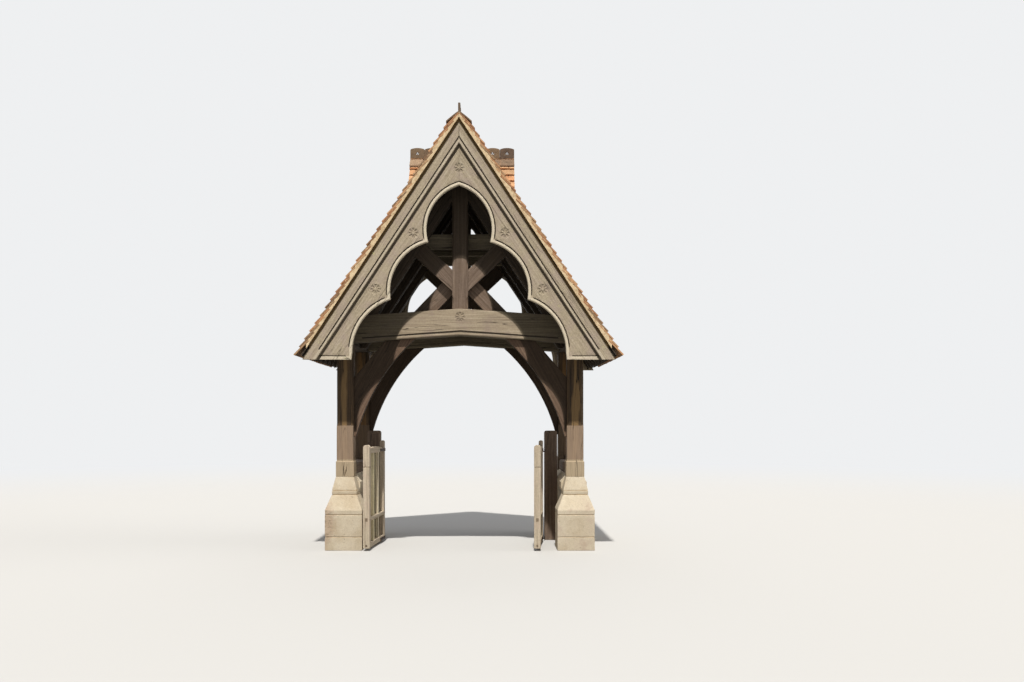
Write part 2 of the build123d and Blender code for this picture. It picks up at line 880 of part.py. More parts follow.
def middle_height(outset):
    """How high the topmost arc, set outwards by outset, is in the middle of the gate."""
    return arc_centre(0)[1] + sqrt((cusp_radii[0] + outset) ** 2 - cusp_top_x**2)


def arc_angle(index, point):
    cx, cz = arc_centre(index)
    return atan2(point[1] - cz, point[0] - cx)


def on_arc(index, outset, angle, side_sign):
    cx, cz = arc_centre(index)
    radius = cusp_radii[index] + outset
    return (side_sign * (cx + radius * cos(angle)), cz + radius * sin(angle))


def arc_points(index, outset, angles, side_sign):
    """Start, middle and end of one arc, set outwards by outset."""
    middle_angle = (angles[0] + angles[1]) / 2
    return [on_arc(index, outset, a, side_sign) for a in (angles[0], middle_angle, angles[1])]


opening_apex = (0, middle_height(0))
opening_side = (opening_side_x, arc_centre(2)[1])
arc_angles = (
    (arc_angle(0, opening_apex), arc_angle(0, cusp_tip(1, 0))),
    (arc_angle(1, cusp_tip(1, 0)), arc_angle(1, cusp_tip(2, 1))),
    (arc_angle(2, cusp_tip(2, 1)), 0.0),
)

# The groove beside the opening stops short of every cusp, and meets in the middle at the top
groove_inner = cusp_roll_width
groove_outer = cusp_roll_width + groove_width
groove_top_inner = arc_angle(0, (0, middle_height(groove_inner)))
groove_top_outer = arc_angle(0, (0, middle_height(groove_outer)))
groove_stop = radians(cusp_groove_stop)
groove_angles = (
    (groove_top_inner, groove_top_outer, arc_angles[0][1] + groove_stop),
    (arc_angles[1][0] - groove_stop, arc_angles[1][0] - groove_stop, arc_angles[1][1] + groove_stop),
    (arc_angles[2][0] - groove_stop, arc_angles[2][0] - groove_stop, groove_stop),
)

for end, end_sign in ends.items():
    cusped_plane = upright_plane(end_sign * (board_face_y - facing_thickness))
    for side, side_sign in sides.items():
        with BuildPart() as cusped_board:
            with BuildSketch(cusped_plane):
                with BuildLine():
                    for index, angles in enumerate(arc_angles):
                        ThreePointArc(*arc_points(index, 0, angles, side_sign))
                    Polyline(
                        (side_sign * opening_side[0], opening_side[1]),
                        (side_sign * (opening_side[0] + foot_flare), board_foot),
                        (side_sign * board_foot_x, board_foot),
                        (0, board_apex),
                        opening_apex,
                    )
                make_face()
            extrude(amount=end_sign * cusped_thickness)
            with BuildSketch(cusped_plane):
                for index, (start_inner, start_outer, stop) in enumerate(groove_angles):
                    inner = arc_points(index, groove_inner, (start_inner, stop), side_sign)
                    outer = arc_points(index, groove_outer, (start_outer, stop), side_sign)
                    with BuildLine():
                        ThreePointArc(*inner)
                        Line(inner[2], outer[2])
                        ThreePointArc(*outer)
                        Line(inner[0], outer[0])
                    make_face()
                foot_groove_start = opening_side[0] + foot_flare + cusp_roll_width
                foot_groove_length = board_foot_x - facing_width * upright / rise - foot_groove_start
                with Locations(
                    (side_sign * (foot_groove_start + foot_groove_length / 2), board_foot + foot_groove_rise)
                ):
                    Rectangle(foot_groove_length - foot_groove_margin, groove_width)
            extrude(amount=end_sign * groove_depth, mode=Mode.SUBTRACT)
        save(cusped_board, f"cusped_board_{end}_{side}")

# Facing boards, with a rounded inner edge and a groove beside it
facing_drop = facing_width * upright
facing_roll_drop = facing_roll_width * upright
facing_inner_apex = board_apex - facing_drop
facing_groove_apex = facing_inner_apex + facing_roll_drop
facing_groove_foot = board_foot + facing_groove_end

for end, end_sign in ends.items():
    for side, side_sign in sides.items():
        with BuildPart() as facing_board:
            with BuildSketch(upright_plane(end_sign * board_face_y)):
                with BuildLine():
                    Polyline(
                        (0, board_apex),
                        (side_sign * board_foot_x, board_foot),
                        (side_sign * (facing_inner_apex - board_foot) / rise, board_foot),
                        (0, facing_inner_apex),
                        close=True,
                    )
                make_face()
            extrude(amount=end_sign * facing_thickness)
            middle_z = (facing_inner_apex + board_foot) / 2
            middle_x = side_sign * (facing_inner_apex - middle_z) / rise
            inner_edge = facing_board.edges().sort_by_distance(
                Vector(middle_x, end_sign * board_face_y, middle_z)
            )[0]
            fillet(inner_edge, radius=facing_roll_radius)
            with BuildSketch(upright_plane(end_sign * board_face_y)):
                with BuildLine():
                    groove_top = facing_groove_apex + groove_width * upright
                    Polyline(
                        (0, facing_groove_apex),
                        (0, groove_top),
                        (side_sign * (groove_top - facing_groove_foot) / rise, facing_groove_foot),
                        (
                            side_sign * (facing_groove_apex - facing_groove_foot) / rise,
                            facing_groove_foot,
                        ),
                        close=True,
                    )
                make_face()
            extrude(amount=end_sign * groove_depth, mode=Mode.SUBTRACT)
        save(facing_board, f"facing_board_{end}_{side}")

# Gates: a hanging post, pintles, and a leaf that turns on them
gate_post_x = post_x - coping_width / 2 - gate_post_width / 2  # stands against the coping
gate_post_inner_x = gate_post_x - gate_post_width / 2
hinge_x = gate_post_inner_x - hinge_stand_off
hinge_y = gate_post_y - gate_post_width / 2 - hinge_set_forward
leaf_length = hinge_x - meeting_gap / 2
top_rail_bottom = top_rail_top - top_rail_depth
strap_bottoms = (leaf_bottom + strap_lift, top_rail_bottom + strap_lift)
eye_inner = pin_radius + eye_clearance
open_directions = {
    "left": -left_open_angle,
    "right": 180 + right_open_angle,
}

for side, side_sign in sides.items():
    with BuildPart() as hanging_post:
        with BuildSketch(Plane.XY):
            with Locations((side_sign * gate_post_x, gate_post_y)):
                Rectangle(gate_post_width, gate_post_width)
        extrude(amount=gate_post_top)
        top_edges = hanging_post.faces().sort_by(Axis.Z)[-1].edges().filter_by(Axis.Y)
        fillet(top_edges, radius=gate_post_round)
    save(hanging_post, f"hanging_post_{side}")

    with BuildPart() as pintles:
        for strap_bottom in strap_bottoms:
            arm_bottom = strap_bottom - pintle_gap - pintle_arm
            arm_middle = (hinge_x + gate_post_inner_x) / 2
            with Locations((side_sign * arm_middle, hinge_y, arm_bottom)):
                Box(
                    gate_post_inner_x - hinge_x,
                    pintle_arm,
                    pintle_arm,
                    align=(Align.CENTER, Align.CENTER, Align.MIN),
                )
            plate_x = side_sign * (gate_post_inner_x - strap_thickness / 2)
            with Locations((plate_x, hinge_y - pintle_arm / 2, arm_bottom)):
                Box(
                    strap_thickness,
                    pintle_plate_length,
                    strap_height,
                    align=(Align.CENTER, Align.MIN, Align.MIN),
                )
            with Locations((side_sign * hinge_x, hinge_y, arm_bottom)):
                Cylinder(
                    pin_radius,
                    pintle_arm + 1.5 * strap_height,
                    align=(Align.CENTER, Align.CENTER, Align.MIN),
                )
    save(pintles, f"pintles_{side}")

    # The leaf's own planes: lengthwise, its x runs from the hinge to the meeting edge
    direction = radians(open_directions[side])
    hinge_point = (side_sign * hinge_x, hinge_y, 0)
    along = (cos(direction), sin(direction), 0)
    leaf_plane = Plane(origin=hinge_point, x_dir=along, z_dir=(along[1], -along[0], 0))
    across_plane = Plane(origin=hinge_point, x_dir=(-along[1], along[0], 0), z_dir=along)
    heel_end = heel_start + heel_width
    meeting_start = leaf_length - meeting_width
    stiles = (
        (heel_start, heel_width, leaf_thickness, heel_top, heel_round),
        (meeting_start, meeting_width, meeting_thickness, meeting_top, meeting_round),
    )

    # Stiles with rounded tops, rails and upright bars, tenoned together into one leaf
    with BuildPart() as leaf:
        for start, width, thickness, top, round_radius in stiles:
            with BuildSketch(across_plane.offset(start)) as stile_section:
                with Locations((0, leaf_bottom)):
                    Rectangle(thickness, top - leaf_bottom, align=(Align.CENTER, Align.MIN))
                fillet(stile_section.vertices().group_by(Axis.Y)[-1], radius=round_radius)
            extrude(amount=width)
        with BuildSketch(leaf_plane):
            with BuildLine():
                rail_arch = ThreePointArc(
                    (heel_end, top_rail_top - top_rail_heel_drop),
                    ((heel_end + meeting_start) / 2, top_rail_top),
                    (meeting_start, top_rail_top - top_rail_meeting_drop),
                )
                Polyline(
                    rail_arch @ 1,
                    (meeting_start, top_rail_bottom),
                    (heel_end, top_rail_bottom),
                    rail_arch @ 0,
                )
            make_face()
            for rail_bottom, rail_depth in (
                (mid_rail_top - mid_rail_depth, mid_rail_depth),
                (leaf_bottom, bottom_rail_depth),
            ):
                with Locations(((heel_end + meeting_start) / 2, rail_bottom)):
                    Rectangle(
                        meeting_start - heel_end,
                        rail_depth,
                        align=(Align.CENTER, Align.MIN),
                    )
        extrude(amount=leaf_thickness / 2, both=True)
        with BuildSketch(leaf_plane):
            for place in bar_places:
                bar_x = heel_end + place * (meeting_start - heel_end)
                bar_bottom = leaf_bottom + bottom_rail_depth
                with Locations((bar_x, bar_bottom)):
                    Rectangle(
                        bar_width,
                        top_rail_bottom - bar_bottom,
                        align=(Align.CENTER, Align.MIN),
                    )
        extrude(amount=bar_thickness / 2, both=True)

        # A groove round the neck of the meeting stile
        with BuildSketch(leaf_plane.offset(-meeting_thickness / 2)):
            with Locations((meeting_start + meeting_width / 2, neck_height)):
                Rectangle(meeting_width, neck_width)
        extrude(amount=neck_depth, mode=Mode.SUBTRACT)
        with BuildSketch(leaf_plane.offset(meeting_thickness / 2)):
            with Locations((meeting_start + meeting_width / 2, neck_height)):
                Rectangle(meeting_width, neck_width)
        extrude(amount=-neck_depth, mode=Mode.SUBTRACT)
        with BuildSketch(across_plane.offset(leaf_length)):
            with Locations((0, neck_height)):
                Rectangle(meeting_thickness, neck_width)
        extrude(amount=-neck_depth, mode=Mode.SUBTRACT)
    save(leaf, f"leaf_{side}")

    # Strap hinges: an eye on the pin, and two straps that clasp the heel stile and the rail
    with BuildPart() as leaf_straps:
        for strap_bottom in strap_bottoms:
            strap_plane = Plane(
                origin=(side_sign * hinge_x, hinge_y, strap_bottom),
                x_dir=along,
                z_dir=(0, 0, 1),
            )
            with BuildSketch(strap_plane):
                with Locations((heel_start - strap_thickness, 0)):
                    Rectangle(
                        strap_length,
                        leaf_thickness + 2 * strap_thickness,
                        align=(Align.MIN, Align.CENTER),
                    )
                with Locations((heel_start, 0)):
                    Rectangle(
                        strap_length,
                        leaf_thickness,
                        align=(Align.MIN, Align.CENTER),
                        mode=Mode.SUBTRACT,
                    )
                Circle(eye_inner + eye_wall)
                Rectangle(heel_start, eye_wall, align=(Align.MIN, Align.CENTER))
                Circle(eye_inner, mode=Mode.SUBTRACT)
            extrude(amount=strap_height)
    save(leaf_straps, f"leaf_straps_{side}")
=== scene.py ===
"""Looks of the lychgate, in metres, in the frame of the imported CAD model.

Timber is dressed from the CAD nodes: worn edges, grain along each member, carved rosettes.
Tiles, ridge tiles, stones and gate members are built here inside their CAD nodes.
"""

import random
from math import atan2, ceil, cos, hypot, pi, radians, sin, tan

import bmesh
import bpy
import numpy as np
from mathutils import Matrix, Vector, noise


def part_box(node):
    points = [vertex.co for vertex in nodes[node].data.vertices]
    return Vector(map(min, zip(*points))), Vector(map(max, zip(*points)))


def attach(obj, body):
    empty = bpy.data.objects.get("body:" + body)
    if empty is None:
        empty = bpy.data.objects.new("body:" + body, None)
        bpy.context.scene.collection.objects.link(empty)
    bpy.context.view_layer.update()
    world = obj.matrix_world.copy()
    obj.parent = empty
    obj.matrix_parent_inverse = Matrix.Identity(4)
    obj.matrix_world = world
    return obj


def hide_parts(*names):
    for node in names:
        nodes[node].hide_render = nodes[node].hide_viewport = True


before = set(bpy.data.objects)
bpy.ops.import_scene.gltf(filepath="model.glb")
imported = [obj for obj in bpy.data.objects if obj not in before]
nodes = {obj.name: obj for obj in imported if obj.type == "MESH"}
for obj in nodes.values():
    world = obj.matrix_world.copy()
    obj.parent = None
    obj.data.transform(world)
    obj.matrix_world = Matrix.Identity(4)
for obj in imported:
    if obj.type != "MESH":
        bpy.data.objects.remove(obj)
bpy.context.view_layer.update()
scene = bpy.context.scene
noise.seed_set(1)  # without a seed, noise vectors differ from run to run

upright = (0, 0, 1)
both_sides = ("left", -1), ("right", 1)
both_ends = ("front", -1), ("rear", 1)

# Roof sizes, in metres, the same as in the CAD source
roof_pitch = radians(56.6)
rise = tan(roof_pitch)
roof_thickness, board_depth = 0.097, 0.077
tile_gauge, tile_length, tile_width, tile_thickness, tile_gap = 0.12, 0.265, 0.165, 0.019, 0.003
ridge_wing_x, ridge_tile_thickness = 0.165, 0.022
ridge_tile_drop = 0.095  # from where the outer faces would meet, down to the ridge tiles
crest_height, crest_thickness, crest_unit, crest_dome = 0.15, 0.028, 0.205, 0.02
facing_width, roof_board_width, plank_width, plank_gap = 0.148, 0.15, 0.12, 0.003

# Gate sizes; the neck is a narrow joint in the meeting stile
hinge_x, hinge_y = 1.122, -0.020
open_left, open_right = 95.2, 84.6
leaf_length, leaf_thickness, leaf_bottom = 1.118, 0.058, 0.034
heel_start, heel_width, heel_top, heel_round = 0.027, 0.090, 1.430, 0.024
meeting_width, meeting_thickness, meeting_top, meeting_round = 0.088, 0.086, 1.390, 0.038
neck_height, neck_width, neck_depth = 1.100, 0.008, 0.004
top_rail_bottom, top_rail_top, top_rail_heel, top_rail_meeting = 1.275, 1.355, 1.322, 1.342
mid_rail_top, mid_rail_bottom, bottom_rail_top = 0.434, 0.383, leaf_bottom + 0.066
bar_width, bar_thickness, bar_places = 0.070, 0.040, (1 / 3, 2 / 3)
heel_end, meeting_start = heel_start + heel_width, leaf_length - meeting_width
opening_width = meeting_start - heel_end

# Rosettes: on the joint of the cusped boards, beside the arcs, and on the tie beams
rosette_radius, rosette_petals = 0.07, 8
apex_rosette_z = 4.958
side_rosettes = (0.590, 4.121), (1.075, 3.398)
tie_rosette_z = 3.085

# Drying cracks in a post's foot, as (across, up, share of the width) from its lower left corner
crack_width, crack_depth = 0.008, 0.02
post_cracks = (
    ((0.105, 0.005, 0.4), (0.1, 0.09, 1.2), (0.112, 0.2, 0.3)),
    ((0.118, 0.01, 0.4), (0.14, 0.08, 1.3), (0.152, 0.17, 0.3)),
)

# Heights of the courses of stone, and places of the joints in the low walls' courses
stone_joint, mortar_recess = 0.007, 0.007
plinth_levels, wall_levels = (0.177, 0.47, 0.730, 0.785), (0.19, 0.37, 0.53)
wall_splits = (-0.45, 0.02, 0.4), (-0.22, 0.25)

# Places read from the frame; roof_apex is where the roof's outer faces would meet
slope_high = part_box("roof_slope_right")[1]
eaves_x, roof_half_length = slope_high.x, slope_high.y
ridge_tile_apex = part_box("ridge_crest")[1].z - crest_height
roof_apex = ridge_tile_apex + ridge_tile_drop
ridge_slope = rise - (ridge_tile_drop + ridge_tile_thickness) / ridge_wing_x
gablet_end_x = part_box("gablet_roof_right")[1].x
gablet_tile_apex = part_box("gablet_crest_right")[1].z - crest_height
gablet_apex = gablet_tile_apex + ridge_tile_drop
gablet_foot_y = gablet_end_x - (roof_apex - gablet_apex) / rise
post_low, post_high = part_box("post_front_right")
post_x = (post_low.x + post_high.x) / 2
tie_face_y = -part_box("tie_beam_front")[0].y
cusped_face_y = -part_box("cusped_board_front_left")[0].y
facing_low, facing_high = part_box("facing_board_front_left")
board_face_y, board_foot, board_apex = -facing_low.y, facing_low.z, facing_high.z
facing_inner_apex = board_apex - facing_width / cos(roof_pitch)

# Arcs of one half of the boards' opening: radius and centre
cusp_arcs = (
    (0.595, -0.174, board_apex - 1.374),
    (0.646, 0.2445, board_apex - 2.1644),
    (0.714, 0.663, board_apex - 2.9548),
)
# Painted shade: the trusses are darkened where the boards cut off light at this angle, near the key
# lamp's
painted_shadow_angle = radians(63.1)


# Meshes and pieces
def add_object(name, data):
    made = bpy.data.objects.new(name, data)
    scene.collection.objects.link(made)
    return made


def mesh_from(bm, name):
    """A mesh made from a bmesh, which is used up."""
    mesh = bpy.data.meshes.new(name)
    bm.to_mesh(mesh)
    bm.free()
    return mesh


def piece(name, bm, slot, material, *replaced, body="structure", angle=35):
    """Turns a bmesh into an object that rides on a body and stands for CAD nodes."""
    for v in bm.verts:
        v.co.z = max(v.co.z, 0.0)
    mesh = mesh_from(bm, name)
    mesh.materials.append(material)
    mesh.polygons.foreach_set("use_smooth", [True] * len(mesh.polygons))
    mesh.set_sharp_from_angle(angle=radians(angle))
    made = add_object(name, mesh)
    made.modifiers.new("flat_faces", "WEIGHTED_NORMAL").keep_sharp = True
    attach(made, body)
    if replaced:
        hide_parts(*replaced)


def cad_mesh(node):
    """The CAD node as a bmesh with flat faces joined."""
    bm = bmesh.new()
    bm.from_mesh(nodes[node].data)
    bmesh.ops.remove_doubles(bm, verts=bm.verts, dist=0.0002)
    bmesh.ops.dissolve_limit(bm, angle_limit=radians(0.5), verts=bm.verts, edges=bm.edges)
    return bm


def soften(bm, width, chosen=None, segments=2, least=25):
    """Rounds the sharp edges, or only those that chosen picks."""
    edges = [
        e for e in bm.edges
        if len(e.link_faces) == 2 and e.calc_face_angle() > radians(least)
        and (chosen is None or chosen(e))
    ]
    if edges:
        bmesh.ops.bevel(
            bm, geom=edges, offset=width, segments=segments, affect="EDGES", profile=0.5,
            clamp_overlap=True,
        )


def cut(bm, point, normal, clear_outer=False):
    return bmesh.ops.bisect_plane(
        bm, geom=bm.verts[:] + bm.edges[:] + bm.faces[:], dist=1e-6, plane_co=point,
        plane_no=normal, clear_outer=clear_outer,
    )


def unit(axis):
    """A step of one metre along axis 0, 1 or 2."""
    return Vector([float(number == axis) for number in range(3)])


def dice(bm, step):
    """Cuts the mesh by a grid of planes, so that its faces can be made uneven."""
    for axis in range(3):
        values = [v.co[axis] for v in bm.verts]
        low, high = min(values), max(values)
        count = int((high - low) / step)
        for i in range(1, count):
            cut(bm, unit(axis) * (low + (high - low) * i / count), unit(axis))


def uneven(bm, amount, size, seed):
    """Moves the points a little, by smooth noise."""
    for v in bm.verts:
        v.co += noise.noise_vector(v.co / size + Vector((seed * 7.3, seed * 1.7, 0))) * amount


def islands(bm):
    """The separate solids of a bmesh, as lists of points."""
    seen, groups = set(), []
    for start in bm.verts:
        if start in seen:
            continue
        group = [start]
        seen.add(start)
        for v in group:
            for other in [e.other_vert(v) for e in v.link_edges]:
                if other not in seen:
                    seen.add(other)
                    group.append(other)
        groups.append(group)
    return groups


def give_grain(bm, seed, axis=None):
    """Writes coordinates that run along each timber, with a random start, for its wood grain.

    axis is a direction, or gives one for a place. Without it each timber's longest is taken.
    """
    layer = bm.verts.layers.float_vector.new("grain")
    rng = random.Random(seed)
    for group in islands(bm):
        points = np.array([v.co for v in group])
        middle = Vector(points.mean(0))
        if axis is None:
            long_axis = Vector(np.linalg.eigh(np.cov((points - points.mean(0)).T))[1][:, 2])
        else:
            long_axis = Vector(axis(middle) if callable(axis) else axis)
        long_axis.normalize()
        helper = Vector((0, 1, 0)) if abs(long_axis.y) < 0.9 else Vector((1, 0, 0))
        second = long_axis.cross(helper).normalized()
        third = long_axis.cross(second)
        start = Vector((rng.uniform(0, 40), rng.uniform(0, 40), rng.uniform(0, 40)))
        for v in group:
            p = v.co - middle
            v[layer] = start + Vector((p.dot(long_axis), p.dot(second), p.dot(third)))


def give_painted_shade(bm, out):
    """Writes painted shade: how far each point lies in the boards' cast shadow, in metres."""
    layer = bm.verts.layers.float.new("painted_shade")
    outward = Vector((0, out * cos(painted_shadow_angle), sin(painted_shadow_angle)))
    bm.normal_update()
    for v in bm.verts:
        height = v.co.z + (cusped_face_y - out * v.co.y) * tan(painted_shadow_angle)
        opening = min(hypot(abs(v.co.x) - x, height - z) - radius for radius, x, z in cusp_arcs)
        turned_away = v.normal.dot(outward) < -0.1 and v.normal.y * out < 0.5
        v[layer] = 1.0 if turned_away else min(opening, height - board_foot)


def timber(node, slot, material, seed, outside=0):
    """A CAD node's timber with worn edges, slightly uneven faces and its own grain.

    outside is -1 or 1 for a timber with the boards' shadow painted on, from the front or the rear.
    """
    bm = cad_mesh(node)
    soften(bm, 0.005)
    dice(bm, 0.06 if outside else 0.09)
    # painted shade: the boards' cast shadow darkens these timbers
    if outside:
        give_painted_shade(bm, outside)
    uneven(bm, 0.0012, 0.12, seed)
    give_grain(bm, seed)
    piece("dressed_" + node, bm, slot, material, node)


def clipped(bm, point, normal):
    """Removes what lies beyond a plane, on the side of its normal, and closes the cut."""
    made = cut(bm, point, normal, clear_outer=True)["geom_cut"]
    edges = [e for e in made if isinstance(e, bmesh.types.BMEdge)]
    bmesh.ops.holes_fill(bm, edges=edges, sides=0)


def cell(bm, *ranges):
    """A copy of bm, cut to ranges of (axis, low, high)."""
    part = bm.copy()
    for axis, low, high in ranges:
        if low is not None:
            clipped(part, unit(axis) * low, -unit(axis))
        if high is not None:
            clipped(part, unit(axis) * high, unit(axis))
    return part


def add_into(target, part):
    """Adds a bmesh to another, with what is written on its points."""
    scratch = mesh_from(part, "scratch")
    target.from_mesh(scratch)
    bpy.data.meshes.remove(scratch)


def rectangle(left, right, low, high):
    return [(left, low), (right, low), (right, high), (left, high)]


def arc_points(centre, radius, start, end, steps):
    """Points of an arc from one angle to another, both ends too."""
    angles = [start + (end - start) * i / steps for i in range(steps + 1)]
    return [(centre[0] + radius * cos(a), centre[1] + radius * sin(a)) for a in angles]


def prism(outline, low, high, place):
    """A closed solid: an outline of (a, b) points run from low to high. place gives (x, y, z)."""
    bm = bmesh.new()
    ends = [[bm.verts.new(place(a, b, t)) for a, b in outline] for t in (low, high)]
    bm.faces.new(ends[0])
    bm.faces.new(ends[1][::-1])
    for i in range(len(outline)):
        j = (i + 1) % len(outline)
        bm.faces.new((ends[0][j], ends[0][i], ends[1][i], ends[1][j]))
    bmesh.ops.recalc_face_normals(bm, faces=bm.faces)
    return bm


def carve(bm, cutters):
    """Cuts closed cutter meshes out of bm and returns what is left."""
    bmesh.ops.triangulate(bm, faces=[f for f in bm.faces if len(f.verts) > 4])
    holders = [add_object("carving", mesh_from(each, "carving")) for each in [bm] + cutters]
    for cutter in holders[1:]:
        modifier = holders[0].modifiers.new("cut", "BOOLEAN")
        modifier.operation = "DIFFERENCE"
        modifier.solver = "EXACT"
        modifier.object = cutter
    graph = bpy.context.evaluated_depsgraph_get()
    done = bpy.data.meshes.new_from_object(holders[0].evaluated_get(graph))
    result = bmesh.new()
    result.from_mesh(done)
    meshes = [done] + [holder.data for holder in holders]
    for holder in holders:
        bpy.data.objects.remove(holder)
    for mesh in meshes:
        bpy.data.meshes.remove(mesh)
    bmesh.ops.remove_doubles(result, verts=result.verts, dist=0.00005)
    return result


def rosette(x, z, face_y):
    """The cutter of one rosette: eight hollowed petals in a disc cut into an upright face."""
    into = 1 if face_y < 0 else -1
    rings, least, heart, edge = 10, 0.0006, 0.2, 0.96
    angles = [2 * pi * i / 96 for i in range(96)]
    bm = bmesh.new()

    def depth(share, angle):
        if share < heart:
            return least + 0.004 * (share / heart) ** 3
        lobe = abs(cos(rosette_petals * angle / 2)) ** 0.8
        along = sin(pi * min(1, (share - heart) / 0.76)) ** 0.6 if share < edge else 0
        return least + 0.008 * lobe * along

    def point(share, angle):
        reach = rosette_radius * share
        y = face_y + into * depth(share, angle)
        return bm.verts.new((x + reach * cos(angle), y, z + reach * sin(angle)))

    centre = bm.verts.new((x, face_y + into * least, z))
    loops = [[point(ring / rings, angle) for angle in angles] for ring in range(1, rings + 1)]
    loops.append([bm.verts.new((v.co.x, face_y - into * 0.01, v.co.z)) for v in loops[-1]])
    for i in range(len(angles)):
        j = (i + 1) % len(angles)
        bm.faces.new((centre, loops[0][i], loops[0][j]))
        for a, b in zip(loops, loops[1:]):
            bm.faces.new((a[i], b[i], b[j], a[j]))
    bm.faces.new(loops[-1])
    bmesh.ops.recalc_face_normals(bm, faces=bm.faces)
    return bm


def carve_rosettes(bm, centres, face_y):
    """Cuts rosettes into an upright face and paints shade into the hollows of their petals."""
    bm = carve(bm, [rosette(x, z, face_y) for x, z in centres])
    layer = bm.faces.layers.float.get("painted_recess_shade") or bm.faces.layers.float.new("painted_recess_shade")
    for f in bm.faces:
        middle = f.calc_center_median()
        near = any(
            hypot(middle.x - x, middle.z - z) < rosette_radius - 0.002 for x, z in centres
        )
        # painted shade in the hollows of the petals
        if near and 0.002 < abs(face_y) - abs(middle.y) < 0.012:
            f[layer] = max(f[layer], 0.2)
    return bm


def mark_grooves(bm, face_y, spread):
    """Marks the faces of shallow grooves in an upright face, for painted shade in them.

    spread widens them, as wearing would, by moving their walls apart.
    """
    least, depth = 0.003, 0.0066
    layer = bm.faces.layers.float.new("painted_recess_shade")
    for f in bm.faces:
        wall = max(abs(v.co.y) for v in f.verts) - min(abs(v.co.y) for v in f.verts)
        if least < wall < depth and abs(f.normal.y) < 0.1:
            shift = Vector(f.normal) * -spread
            for v in f.verts:
                v.co += shift
    for f in bm.faces:
        levels = [abs(v.co.y) for v in f.verts]
        bottom = abs(f.normal.y) > 0.9
        wall = max(levels) > abs(face_y) - 0.001 and max(levels) - min(levels) > least
        # painted shade: the groove's floor and walls are marked to be darkened
        if least < abs(face_y) - min(levels) < depth and (bottom or wall):
            f[layer] = 1.0


# Materials
def paint(red, green, blue):
    """A colour written as it looks, 0 to 255, for a shader."""
    return tuple(
        c / 12.92 if c <= 0.04045 else ((c + 0.055) / 1.055) ** 2.4
        for c in (red / 255, green / 255, blue / 255)
    ) + (1.0,)


class Value:
    """What a shader node gives, so that sums of nodes are written as plain formulas."""

    def __init__(self, shading, socket):
        self.shading, self.socket = shading, socket

    def __add__(self, other):
        return self.shading.maths("ADD", self, other)

    def __sub__(self, other):
        return self.shading.maths("SUBTRACT", self, other)

    def __rsub__(self, other):
        return self.shading.maths("SUBTRACT", other, self)

    def __mul__(self, other):
        return self.shading.maths("MULTIPLY", self, other)

    def __abs__(self):
        return self.shading.maths("ABSOLUTE", self)


class Shading:
    """Short calls for the nodes of a shader tree.

    A colour of three numbers is written as it looks, 0 to 255, and one of four as the shader
    has it.
    """

    def __init__(self, tree):
        self.tree = tree

    def fill(self, socket, value):
        """Links a value to an input of a node, or writes a plain number or colour there."""
        if isinstance(value, Value):
            self.tree.links.new(value.socket, socket)
        elif socket.type == "RGBA" and len(value) == 3:
            socket.default_value = paint(*value)
        else:
            socket.default_value = value

    def node(self, kind, output=0, settings=None, **inputs):
        """A node's output. Inputs go by name, or by number after an underscore."""
        made = self.tree.nodes.new("ShaderNode" + kind)
        for key, value in (settings or {}).items():
            setattr(made, key, value)
        for key, value in inputs.items():
            self.fill(made.inputs[int(key[1:]) if key[1:].isdigit() else key], value)
        return Value(self, made.outputs[output])

    def place(self):
        return self.node("TexCoord", "Object")

    def axis(self, vector, number):
        return self.node("SeparateXYZ", number, Vector=vector)

    def length(self, vector):
        return self.node("VectorMath", "Value", {"operation": "LENGTH"}, _0=vector)

    def attribute(self, name, output="Fac"):
        """What is written on the mesh under this name."""
        return self.node("Attribute", output, {"attribute_name": name})

    def noise(self, vector, scale, detail, roughness, distortion=0.0, start=(0, 0, 0)):
        """Smooth noise; a scale of three numbers stretches it along the axes."""
        if isinstance(scale, tuple):
            vector = self.node("Mapping", Vector=vector, Scale=scale, Location=start)
            scale = 1.0
        return self.node(
            "TexNoise", Vector=vector, Scale=scale, Detail=detail, Roughness=roughness,
            Distortion=distortion,
        )

    def ramp(self, factor, *stops):
        """A colour ramp from (place, colour) stops."""
        made = self.tree.nodes.new("ShaderNodeValToRGB")
        self.fill(made.inputs[0], factor)
        elements = made.color_ramp.elements
        while len(elements) < len(stops):
            elements.new(0.5)
        for element, (place, colour) in zip(elements, stops):
            element.position = place
            element.color = paint(*colour) if len(colour) == 3 else colour
        return Value(self, made.outputs[0])

    def mix(self, factor, low, high, blend="MIX"):
        settings = {"data_type": "RGBA", "blend_type": blend}
        return self.node("Mix", 2, settings, _0=factor, _6=low, _7=high)

    def maths(self, operation, first, second=0.0):
        return self.node("Math", 0, {"operation": operation}, _0=first, _1=second)

    def share(self, value, low, high):
        """0 below low, 1 above high, and smooth between them."""
        settings = {"interpolation_type": "SMOOTHSTEP"}
        return self.node("MapRange", 0, settings, _0=value, _1=low, _2=high)

    def fade(self, value, low, high):
        """1 below low, 0 above high, and smooth between them."""
        return 1.0 - self.share(value, low, high)


class Look(Shading):
    """A material that is being made."""

    def __init__(self, name, roughness, specular=0.3):
        self.material = bpy.data.materials.new(name)
        self.material.use_nodes = True
        super().__init__(self.material.node_tree)
        self.shader = self.tree.nodes["Principled BSDF"]
        self.shader.inputs["Roughness"].default_value = roughness
        self.shader.inputs["Specular IOR Level"].default_value = specular

    def finish(self, colour, height, strength, distance):
        """Links the colour and the bumps, and gives the material."""
        bumps = self.node("Bump", Strength=strength, Distance=distance, Height=height)
        self.fill(self.shader.inputs["Base Color"], colour)
        self.fill(self.shader.inputs["Normal"], bumps)
        return self.material


